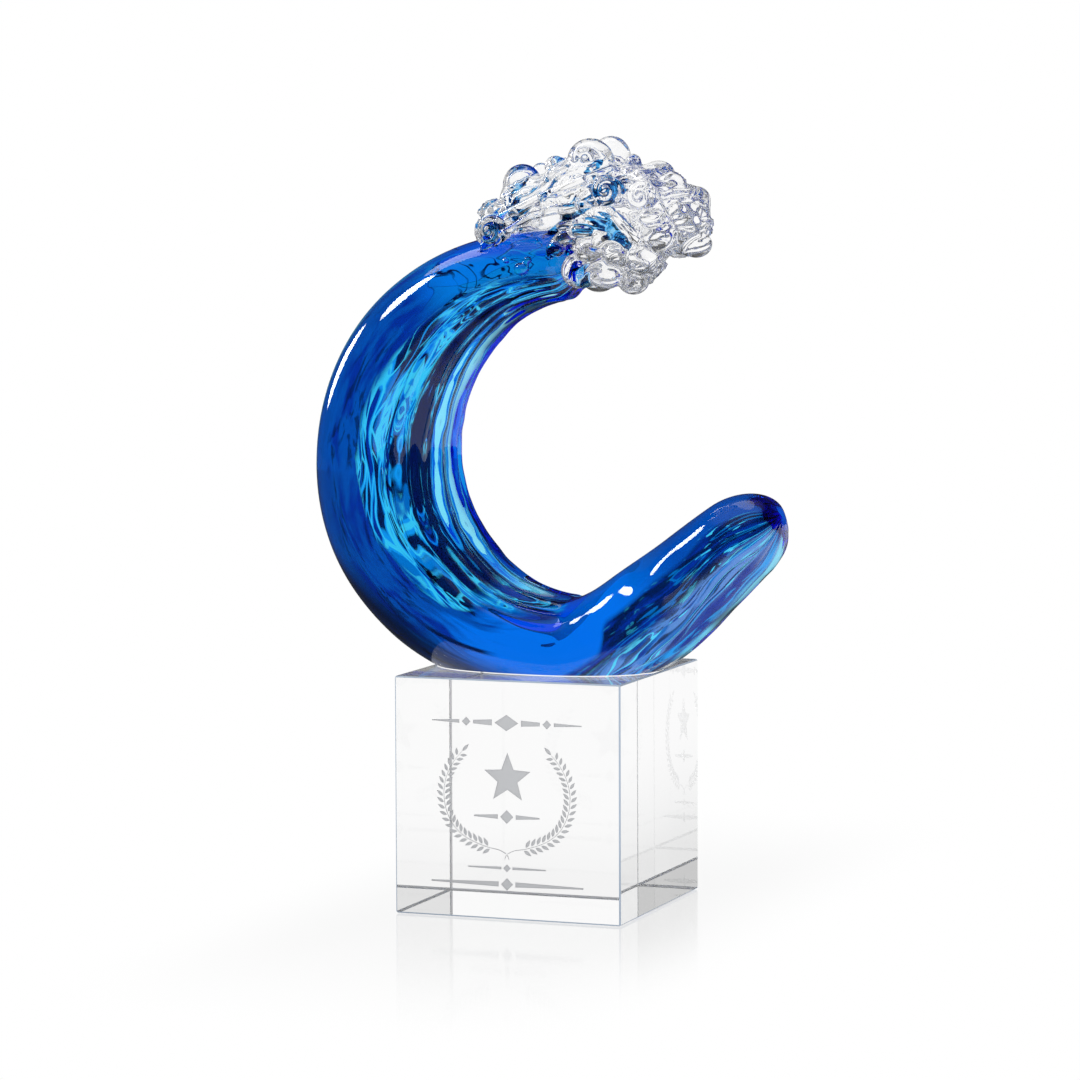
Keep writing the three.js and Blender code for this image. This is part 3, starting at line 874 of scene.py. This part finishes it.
    # Under the crest the neck shows flat facets with dark seams
    facet_colour = cells(FACET_STRETCH, "F1", "Color")
    facet = node(tree, "ShaderNodeSeparateColor", Color=facet_colour).outputs[0]
    from_edge = cells(FACET_STRETCH, "DISTANCE_TO_EDGE", "Distance")
    seams = ramp_between(tree, from_edge, 0.006, 0.014, 0.8, 0.0)
    facets = mix_colours(tree, ramp_between(tree, facet, 0.3, 0.7), given["Calm"], given["Middle"])
    facets = mix_colours(tree, seams, facets, given["Shade"])
    neck = both(ramp_between(tree, run, NECK_FACETS[0], NECK_FACETS[1]), ramp_between(tree, turn, 0.3, 0.42))
    body = mix_colours(tree, both(neck, before), body, facets)
    # The calm glass over the foot, with one dark drawn-out mark in it
    uneven = plus(run, both(less(noise((0.35, 5.0, 5.0)), 0.5), 3.0))
    low = both(ramp_between(tree, uneven, 0.9, 1.7, 1.0, 0.0), before)
    low = both(low, ramp_between(tree, less(turn, limit), -0.02, 0.06))
    body = mix_colours(tree, low, body, given["Calm"])
    mark = math_node(tree, "ABSOLUTE", less(turn, plus(0.475, both(run, 0.022))))
    mark = both(ramp_between(tree, mark, 0.006, 0.02, 1.0, 0.0), between(tree, run, (0.6, 0.9), (1.6, 2.0)))
    body = mix_colours(tree, both(mark, before), body, given["Shade"])
    # The tongue: blue above a curved line, dark below it with painted glints near the tip, and streaked
    # underneath, where blue and navy carry painted reflections in lilac and thin white lines
    curve = ramp_between(tree, run, -1.05, -0.65, 0.42, 0.56)
    curve = plus(curve, ramp_between(tree, run, -3.1, -2.3, -0.07, 0.0))
    tongue = both(ramp_between(tree, run, -0.3, 0.0, 1.0, 0.0), before)
    upper = mix_colours(tree, ramp_between(tree, run, -2.4, -1.1, 0.85, 0.0), given["Calm"], given["Deep"])
    dark = mix_colours(tree, cloud((1.1, 6.0, 6.0), 0.34, 0.54, 3.0), given["Deep"], given["Shade"])
    dark = mix_colours(tree, both(lines((0.4, 5.0, 5.0), 0.55, 0.01), 0.5), dark, given["Middle"])
    glints = both(cloud((3.0, 14.0, 14.0), 0.62, 0.66), ramp_between(tree, run, -2.6, -2.2, 1.0, 0.1))
    dark = mix_colours(tree, glints, dark, given["Bright"])
    streaks_and_painted_reflection = mix_colours(tree, cloud((0.3, 9.0, 9.0), 0.4, 0.56, 3.0), given["Middle"], given["Deep"])
    # Painted reflection: lilac along the underside
    streaks_and_painted_reflection = mix_colours(tree, cloud((0.22, 11.0, 11.0), 0.44, 0.56, 4.0), streaks_and_painted_reflection, given["Lilac"])
    thin_dark = both(cloud((0.2, 14.0, 14.0), 0.53, 0.58, 3.0), 0.9)
    streaks_and_painted_reflection = mix_colours(tree, thin_dark, streaks_and_painted_reflection, given["Shade"])
    # Painted reflection: thin white lines
    streaks_and_painted_reflection = mix_colours(tree, lines((0.2, 6.0, 6.0), 0.5, 0.012), streaks_and_painted_reflection, (1.0, 1.0, 1.0, 1.0))
    beneath = mix_colours(tree, cloud((0.3, 9.0, 9.0), 0.4, 0.5, 3.0), given["Light"], given["Deep"])
    streaks_and_painted_reflection = mix_colours(tree, ramp_between(tree, turn, 0.82, 0.88), streaks_and_painted_reflection, beneath)
    dark = mix_colours(tree, ramp_between(tree, plus(turn, both(sway, 0.3)), 0.64, 0.72), dark, streaks_and_painted_reflection)
    shape = mix_colours(tree, ramp_between(tree, less(turn, curve), 0.0, 0.05), upper, dark)
    body = mix_colours(tree, tongue, body, shape)
    tree.links.new(body, result.inputs["Color"])
    return tree


def glass_material(name, ior, base=(1.0, 1.0, 1.0, 1.0)):
    """Clear polished glass on the Principled shader."""
    material = bpy.data.materials.new(name)
    material.use_nodes = True
    shader = material.node_tree.nodes["Principled BSDF"]
    shader.inputs["Base Color"].default_value = base
    shader.inputs["Transmission Weight"].default_value = 1.0
    shader.inputs["Roughness"].default_value = 0.0
    shader.inputs["IOR"].default_value = ior
    return material


def blue_glass_material():
    """Blue glass: its colour on its skin, with painted refracted light and painted reflections, and
    absorption inside.
    """
    material = glass_material("blue_glass", 1.0)
    tree = material.node_tree
    # The group gives the glass colour together with painted refracted light and painted reflections
    tint = node(
        tree,
        "ShaderNodeGroup",
        {"node_tree": glass_tint_and_painted_light_group()},
        Deep=(0.00001, 0.002, 0.11, 1.0),
        Shade=(0.000002, 0.0003, 0.007, 1.0),
        Middle=(0.00002, 0.085, 0.46, 1.0),
        Light=(0.003, 0.22, 0.78, 1.0),
        Bright=(0.2, 0.75, 0.9, 1.0),
        Calm=(0.000004, 0.068, 0.76, 1.0),
        Edge=(0.000012, 0.014, 0.19, 1.0),
        # The lilac of the painted reflections under the tongue
        Lilac=(1.0, 0.16, 0.5, 1.0),
        Window=(0.75, 0.93, 1.0, 1.0),
    )
    # Only the first way through the skin is coloured, so that light kept inside by reflection stays
    depth = node(tree, "ShaderNodeLightPath").outputs["Transmission Depth"]
    inside_again = math_node(tree, "GREATER_THAN", depth, 5.5)
    shown = mix_colours(tree, inside_again, tint.outputs["Color"], (0.06, 0.5, 0.96, 1.0))
    tree.links.new(shown, tree.nodes["Principled BSDF"].inputs["Base Color"])
    inside = node(tree, "ShaderNodeVolumeAbsorption", Color=(0.2, 0.86, 0.99, 1.0), Density=14.0)
    tree.links.new(inside.outputs[0], tree.nodes["Material Output"].inputs["Volume"])
    return material


def casing_material():
    """The glass of the clear skin, a shade blue where it is thick."""
    material = glass_material("casing_glass", 1.5)
    tree = material.node_tree
    inside = node(tree, "ShaderNodeVolumeAbsorption", Color=(0.1, 0.86, 1.0, 1.0), Density=42.0)
    tree.links.new(inside.outputs[0], tree.nodes["Material Output"].inputs["Volume"])
    return material


def frosted_material(name, base, transmission):
    """Ground crystal: part of the light passes, part comes back from it. Seen from inside, its colour is
    lighter, as painted light.
    """
    material = glass_material(name, 1.517, base)
    tree = material.node_tree
    shader = tree.nodes["Principled BSDF"]
    shader.inputs["Transmission Weight"].default_value = transmission
    # Painted light: seen from inside, the ground face takes a lighter colour
    inside = node(tree, "ShaderNodeNewGeometry").outputs["Backfacing"]
    tree.links.new(mix_colours(tree, inside, base, FROST_INSIDE_PAINTED_LIGHT), shader.inputs["Base Color"])
    grain = node(
        tree,
        "ShaderNodeTexNoise",
        Vector=node(tree, "ShaderNodeTexCoord").outputs["Object"],
        Scale=5000.0,
        Detail=2.0,
    )
    tree.links.new(ramp_between(tree, grain.outputs["Fac"], 0.2, 0.8, 0.5, 0.8), shader.inputs["Roughness"])
    return material


def thread_material():
    """Blue glass of the threads: bands of navy, cyan and none over a light absorption."""
    material = glass_material("blue_thread", 1.0)
    tree = material.node_tree
    place = scaled(tree, node(tree, "ShaderNodeTexCoord").outputs["Object"], (220.0, 220.0, 420.0))
    noise = node(tree, "ShaderNodeTexNoise", Vector=place, Scale=1.0, Detail=3.0, Distortion=1.2)
    bands = noise.outputs["Fac"]
    navy, cyan = (0.0005, 0.006, 0.05, 1.0), (0.1, 0.5, 0.9, 1.0)
    tint = mix_colours(tree, ramp_between(tree, bands, 0.46, 0.54), navy, cyan)
    tint = mix_colours(tree, ramp_between(tree, bands, 0.56, 0.62), tint, (1.0, 1.0, 1.0, 1.0))
    tree.links.new(tint, tree.nodes["Principled BSDF"].inputs["Base Color"])
    inside = node(tree, "ShaderNodeVolumeAbsorption", Color=(0.03, 0.66, 0.95, 1.0), Density=500.0)
    tree.links.new(inside.outputs[0], tree.nodes["Material Output"].inputs["Volume"])
    return material


CLEAR = glass_material("clear_glass", 1.5)
CASING = casing_material()
FUSED = glass_material("fused_glass", 1.0)
CRYSTAL = glass_material("crystal", 1.517)
FROSTED = frosted_material("frosted_crystal", (0.50, 0.51, 0.53, 1.0), 0.3)
# Chamfers: a fine-ground finish whose dark blue-grey is painted dark reflection of the room
GROUND_EDGE_PAINTED_DARK = frosted_material("ground_edge_painted_dark", (0.33, 0.42, 0.55, 1.0), 0.5)
BLUE = blue_glass_material()
THREAD = thread_material()


# Pieces


def wave_core():
    """The blue glass inside the wave, ground flat at the foot."""
    points, ends, flow = wave_skin(True, 0.0)
    vertices, quads, triangles = closed_grid(points, ends)
    end_flow = np.array([flow[0, 0], flow[-1, 0]])
    all_flow = np.concatenate([flow.reshape(-1, 3), end_flow])
    piece = make_piece("wave_core", vertices, quads, triangles, all_flow)
    grind_foot(piece, FOOT_LEVEL)
    piece.data.materials.append(BLUE)
    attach(piece, "root")
    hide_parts("blue_core")


def foot_outline(piece):
    """Outline of the casing's ground foot, as points round it in millimetres."""
    work = bmesh.new()
    work.from_mesh(piece.data)
    found = []
    for vertex in work.verts:
        if abs(vertex.co.z / MM - FOOT_LEVEL) < 0.001:
            flat = [face.normal.z < -0.99 for face in vertex.link_faces]
            curved = (not f and face.material_index == 0 for f, face in zip(flat, vertex.link_faces))
            if any(flat) and any(curved):
                found.append((vertex.co.x / MM, vertex.co.y / MM))
    work.free()
    found = np.array(found)
    middle = (found.min(0) + found.max(0)) / 2
    return found[np.argsort(np.arctan2(found[:, 1] - middle[1], found[:, 0] - middle[0]))]


def filled(work, loops, material):
    """Fills the area between closed loops of vertices with flat triangles."""
    edges = []
    for loop in loops:
        for first, second in zip(loop, loop[1:] + loop[:1]):
            edges.append(work.edges.get((first, second)) or work.edges.new((first, second)))
    made = bmesh.ops.triangle_fill(work, edges=edges, use_beauty=True)
    for item in made["geom"]:
        if isinstance(item, bmesh.types.BMFace):
            item.material_index = material


def engraved_block(outline):
    """The crystal block: chamfered edges, ground and darkened by painted dark reflection, a polished patch
    where the film lies, and the engraving sunk into its front face."""
    work = bmesh.new()
    low, high, edge = block_low, block_high, BLOCK_EDGE
    corner = {}
    for side in np.ndindex(2, 2, 2):
        for axis in range(3):
            place = [high[n] if side[n] else low[n] for n in range(3)]
            for n in range(3):
                if n != axis:
                    place[n] += -edge if side[n] else edge
            corner[side, axis] = work.verts.new([value * MM for value in place])
        work.faces.new([corner[side, axis] for axis in range(3)]).material_index = 3
    around = ((0, 0), (1, 0), (1, 1), (0, 1))
    for axis in range(3):
        others = [n for n in range(3) if n != axis]
        for pair in around:
            ends = []
            for end in (0, 1):
                side = [0, 0, 0]
                side[axis], side[others[0]], side[others[1]] = end, *pair
                ends.append(tuple(side))
            strip = [corner[ends[0], others[0]], corner[ends[1], others[0]]]
            strip += [corner[ends[1], others[1]], corner[ends[0], others[1]]]
            work.faces.new(strip).material_index = 3
        for end in (0, 1):
            loop = []
            for pair in around:
                side = [0, 0, 0]
                side[axis], side[others[0]], side[others[1]] = end, *pair
                loop.append(corner[tuple(side), axis])
            if (axis, end) == (1, 0):
                front = loop
            elif (axis, end) == (2, 1):
                top = loop
            else:
                work.faces.new(loop)
    holes = []
    for shape in engraved_outlines():
        rim = [work.verts.new((x * MM, low[1] * MM, z * MM)) for x, z in shape]
        floor = [work.verts.new((x * MM, (low[1] + ENGRAVED_DEPTH) * MM, z * MM)) for x, z in shape]
        for n in range(len(rim)):
            after = (n + 1) % len(rim)
            work.faces.new((rim[n], rim[after], floor[after], floor[n])).material_index = 1
        filled(work, [floor], 1)
        holes.append(rim)
    filled(work, [front, *holes], 0)
    patch = [work.verts.new((x * MM, y * MM, high[2] * MM)) for x, y in outline]
    filled(work, [top, patch], 0)
    filled(work, [patch], 2)
    bmesh.ops.recalc_face_normals(work, faces=work.faces)
    mesh = bpy.data.meshes.new("engraved_block")
    work.to_mesh(mesh)
    work.free()
    piece = bpy.data.objects.new("engraved_block", mesh)
    bpy.context.scene.collection.objects.link(piece)
    for material in (CRYSTAL, FROSTED, FUSED, GROUND_EDGE_PAINTED_DARK):
        mesh.materials.append(material)
    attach(piece, "root")
    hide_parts("crystal_cube")


def adhesive_film(outline):
    """The film between the foot and the block, to the foot's own outline."""
    count = len(outline)
    levels = (film_low[2], film_high[2])
    vertices = np.concatenate([np.column_stack([outline, np.full(count, level)]) for level in levels])
    middle = np.column_stack([np.full(2, outline[:, 0].mean()), np.zeros(2), levels])
    j = np.arange(count)
    n = (j + 1) % count
    quads = np.stack([j, n, n + count, j + count], -1)
    lower = np.stack([np.full(count, 2 * count), n, j], -1)
    upper = np.stack([np.full(count, 2 * count + 1), j + count, n + count], -1)
    vertices = np.concatenate([vertices, middle])
    piece = make_piece("adhesive_film", vertices, quads, np.concatenate([lower, upper]))
    piece.data.polygons.foreach_set("use_smooth", np.zeros(len(piece.data.polygons), bool))
    piece.data.materials.append(FUSED)
    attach(piece, "root")
    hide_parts("bond_film")


def wave_casing():
    """The clear skin with the core's hollow in it, open at the ground foot."""
    outside = closed_grid(*wave_skin(False, 0.0)[:2])
    inside = closed_grid(*wave_skin(True, FUSED_GAP, HOLLOW_GRID)[:2], first=len(outside[0]))
    vertices = np.concatenate([outside[0], inside[0]])
    quads = np.concatenate([outside[1], inside[1][:, ::-1]])
    triangles = np.concatenate([outside[2], inside[2][:, ::-1]])
    piece = make_piece("wave_casing", vertices, quads, triangles)
    hollow = piece.data.attributes.new("hollow", "BOOLEAN", "FACE")
    marks = np.zeros(len(quads) + len(triangles), bool)
    marks[len(outside[1]):len(quads)] = True
    marks[len(quads) + len(outside[2]):] = True
    hollow.data.foreach_set("value", marks)
    grind_foot(piece, FOOT_LEVEL)
    piece.data.materials.append(CASING)
    piece.data.materials.append(FUSED)
    faces = len(piece.data.polygons)
    centre = np.zeros(faces * 3)
    normal = np.zeros(faces * 3)
    marks = np.zeros(faces, bool)
    piece.data.polygons.foreach_get("center", centre)
    piece.data.polygons.foreach_get("normal", normal)
    piece.data.attributes["hollow"].data.foreach_get("value", marks)
    on_foot = (centre[2::3] < (FOOT_LEVEL + 0.01) * MM) & (normal[2::3] < -0.99)
    in_froth = froth_distance(centre.reshape(-1, 3) / MM - NECK_PLACE) < 0
    piece.data.polygons.foreach_set("material_index", (marks | on_foot | in_froth).astype(np.int32))
    piece.data.attributes.remove(piece.data.attributes["hollow"])
    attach(piece, "root")
    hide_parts("clear_casing")
    return piece


def crest():
    """The clear froth over the neck, one closed skin from its distances on a grid."""
    axes = [np.arange(low, high, CREST_STEP) for low, high in zip(CREST_LOW, CREST_HIGH)]
    points = np.stack(np.meshgrid(*axes, indexing="ij"), -1)
    field = np.stack([crest_distance(layer) for layer in points])
    vertices, quads = surface_net(field, CREST_LOW, CREST_STEP)
    vertices = settled(vertices, crest_distance)
    piece = make_piece("crest_froth", vertices + NECK_PLACE, quads, np.zeros((0, 3), int))
    middles = vertices[quads].mean(1)
    socket = neck_distance(middles) < FUSED_GAP + 0.12
    piece.data.materials.append(CLEAR)
    piece.data.materials.append(FUSED)
    piece.data.polygons.foreach_set("material_index", socket.astype(np.int32))
    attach(piece, "root")
    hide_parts(*(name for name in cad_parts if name.startswith(("froth", "crest"))))


def crest_threads():
    """Threads of blue glass in the crest, tapered bars along smooth lines through their points."""
    for index, (line, thickness) in enumerate(CREST_THREADS):
        line = np.array(line, float)
        steps = np.linspace(0, 1, len(line))
        even = np.linspace(0, 1, 60)
        slope = np.gradient(line, steps, axis=0)
        at = np.clip(np.searchsorted(steps, even) - 1, 0, len(line) - 2)
        size = steps[1]
        part = ((even - steps[at]) / size)[:, None]
        place = (
            (2 * part**3 - 3 * part**2 + 1) * line[at]
            + (part**3 - 2 * part**2 + part) * size * slope[at]
            + (3 * part**2 - 2 * part**3) * line[at + 1]
            + (part**3 - part**2) * size * slope[at + 1]
        )
        travel = np.gradient(place, axis=0)
        travel = travel / np.linalg.norm(travel, axis=-1, keepdims=True)
        side = np.cross(travel, np.array([0.0, 1.0, 0.0]))
        side = side / np.linalg.norm(side, axis=-1, keepdims=True)
        other = np.cross(travel, side)
        taper = np.sin(np.pi * (0.06 + 0.88 * even)) ** 0.6
        radius = thickness / 2 * taper * (1 + 0.2 * np.sin(11 * even + index))
        turn = np.linspace(0, 2 * np.pi, 24, endpoint=False)
        rim = side[:, None] * np.cos(turn)[:, None] * 1.3 + other[:, None] * np.sin(turn)[:, None] * 0.8
        points = place[:, None] + radius[:, None, None] * rim + NECK_PLACE
        vertices, quads, triangles = closed_grid(points, place[[0, -1]] + NECK_PLACE)
        thread = make_piece(f"crest_thread_{index + 1}", vertices, quads, triangles)
        thread.data.materials.append(THREAD)
        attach(thread, "root")
        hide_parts("crest_gather")


def studio_world():
    """Room round the object, by direction. Seen straight on it is white. Through glass the backdrop
    is white, the sides and the camera's side are grey, and the upper walls dim under a pale ceiling.
    Polished glass reflects a dim room with the same ceiling."""
    world = bpy.data.worlds.new("studio")
    bpy.context.scene.world = world
    world.use_nodes = True
    tree = world.node_tree
    tree.nodes.clear()
    towards = node(tree, "ShaderNodeTexCoord").outputs["Generated"]
    height = node(tree, "ShaderNodeSeparateXYZ", Vector=towards).outputs["Z"]
    facing = node(
        tree, "ShaderNodeVectorMath", {"operation": "DOT_PRODUCT"}, i0=towards, i1=BACKDROP_DIRECTION
    ).outputs["Value"]
    path = node(tree, "ShaderNodeLightPath")
    backdrop = ramp_between(tree, facing, 0.25, 0.55, 0.0, 0.66)
    backdrop = math_node(tree, "ADD", backdrop, ramp_between(tree, facing, -0.6, -0.2, 0.62, 0.12))
    backdrop = math_node(tree, "ADD", backdrop, ramp_between(tree, facing, 0.62, 0.95, 0.0, 0.22))
    upper = math_node(tree, "MULTIPLY", backdrop, ramp_between(tree, height, 0.22, 0.45, 1.0, 0.1))
    through = math_node(tree, "ADD", upper, ramp_between(tree, height, 0.75, 0.92, 0.0, 0.6))
    ceiling = ramp_between(tree, height, 0.7, 0.95, ENVIRONMENT_DARK, 0.4)
    for direction, cosine, strength in SOFTBOXES:
        towards_box = node(
            tree, "ShaderNodeVectorMath", {"operation": "DOT_PRODUCT"}, i0=towards, i1=direction
        ).outputs["Value"]
        ceiling = math_node(
            tree, "ADD", ceiling, ramp_between(tree, towards_box, cosine, cosine + 0.004, 0.0, strength)
        )
    polished = node(tree, "ShaderNodeMix", i0=path.outputs["Is Singular Ray"], i2=1.0, i3=ceiling).outputs[0]
    transmitted = path.outputs["Is Transmission Ray"]
    glass = node(tree, "ShaderNodeMix", i0=transmitted, i2=polished, i3=through).outputs[0]
    level = node(tree, "ShaderNodeMix", i0=path.outputs["Is Camera Ray"], i2=glass, i3=1.0).outputs[0]
    background = node(tree, "ShaderNodeBackground", Color=level)
    output = tree.nodes.new("ShaderNodeOutputWorld")
    tree.links.new(background.outputs[0], output.inputs["Surface"])


def studio_floor():
    """White floor just under the block, with a faint soft mirror image in it."""
    size = 3.0
    mesh = bpy.data.meshes.new("floor")
    level = -0.0002
    corners = [(-size, -size, level), (size, -size, level), (size, size, level), (-size, size, level)]
    mesh.from_pydata(corners, [], [(0, 1, 2, 3)])
    floor = bpy.data.objects.new("floor", mesh)
    bpy.context.scene.collection.objects.link(floor)
    material = bpy.data.materials.new("white_floor")
    material.use_nodes = True
    tree = material.node_tree
    tree.nodes.clear()
    path = node(tree, "ShaderNodeLightPath")
    mirrored = math_node(
        tree,
        "MULTIPLY",
        path.outputs["Is Singular Ray"],
        math_node(tree, "SUBTRACT", 1.0, path.outputs["Is Transmission Ray"]),
    )
    place = node(tree, "ShaderNodeSeparateXYZ", Vector=node(tree, "ShaderNodeTexCoord").outputs["Object"])
    lit = ramp_between(tree, place.outputs["X"], 0.0, 0.2, FLOOR_MIRRORED, FLOOR_LIT_SIDE)
    level = node(tree, "ShaderNodeMix", i0=mirrored, i2=1.0, i3=lit).outputs[0]
    white = node(tree, "ShaderNodeEmission", Strength=level)
    gloss = node(tree, "ShaderNodeBsdfGlossy", Roughness=0.09)
    across = math_node(tree, "ABSOLUTE", place.outputs["X"])
    along = math_node(tree, "ABSOLUTE", place.outputs["Y"])
    edge = float(block_high[0]) * MM
    near = math_node(
        tree,
        "MULTIPLY",
        ramp_between(tree, across, edge, edge + MIRROR_SIDE, MIRROR_STRENGTH, 0.0),
        ramp_between(tree, along, edge, edge + MIRROR_REACH, 1.0, 0.0),
    )
    mixed = node(tree, "ShaderNodeMixShader", i0=near, i1=white.outputs[0], i2=gloss.outputs[0])
    output = tree.nodes.new("ShaderNodeOutputMaterial")
    tree.links.new(mixed.outputs[0], output.inputs["Surface"])
    mesh.materials.append(material)


def photo_camera():
    """Camera at the photograph's azimuth, elevation and roll, aimed near the object's middle."""
    data = bpy.data.cameras.new("camera")
    camera = bpy.data.objects.new("camera", data)
    bpy.context.scene.collection.objects.link(camera)
    turn, lift, roll = (math.radians(a) for a in (VIEW_AZIMUTH, VIEW_ELEVATION, VIEW_ROLL))
    back = Vector((math.sin(turn) * math.cos(lift), -math.cos(turn) * math.cos(lift), math.sin(lift)))
    right = Vector((math.cos(turn), math.sin(turn), 0.0))
    up = back.cross(right)
    across = math.cos(roll) * right + math.sin(roll) * up
    upward = math.cos(roll) * up - math.sin(roll) * right
    place = Matrix((across, upward, back)).transposed().to_4x4()
    place.translation = Vector(VIEW_AIM) + back * VIEW_DISTANCE
    camera.matrix_world = place
    data.sensor_width = SENSOR_WIDTH
    data.lens = FOCAL_PIXELS / IMAGE_PIXELS * SENSOR_WIDTH
    data.clip_end = 100.0
    bpy.context.scene.camera = camera


def glass_bounces():
    """Enough bounces for light to pass all the walls of the froth."""
    cycles = bpy.context.scene.cycles
    cycles.max_bounces = 48
    cycles.transmission_bounces = 48
    cycles.glossy_bounces = 10


photo_camera()
studio_world()
studio_floor()
glass_bounces()
wave_core()
foot = foot_outline(wave_casing())
middle = (foot.min(0) + foot.max(0)) / 2
foot = middle + (foot - middle) * (1 - FILM_INSET / np.linalg.norm(foot - middle, axis=1, keepdims=True))
engraved_block(foot)
adhesive_film(foot)
crest()
crest_threads()
bpy.context.scene.view_settings.view_transform = "Standard"
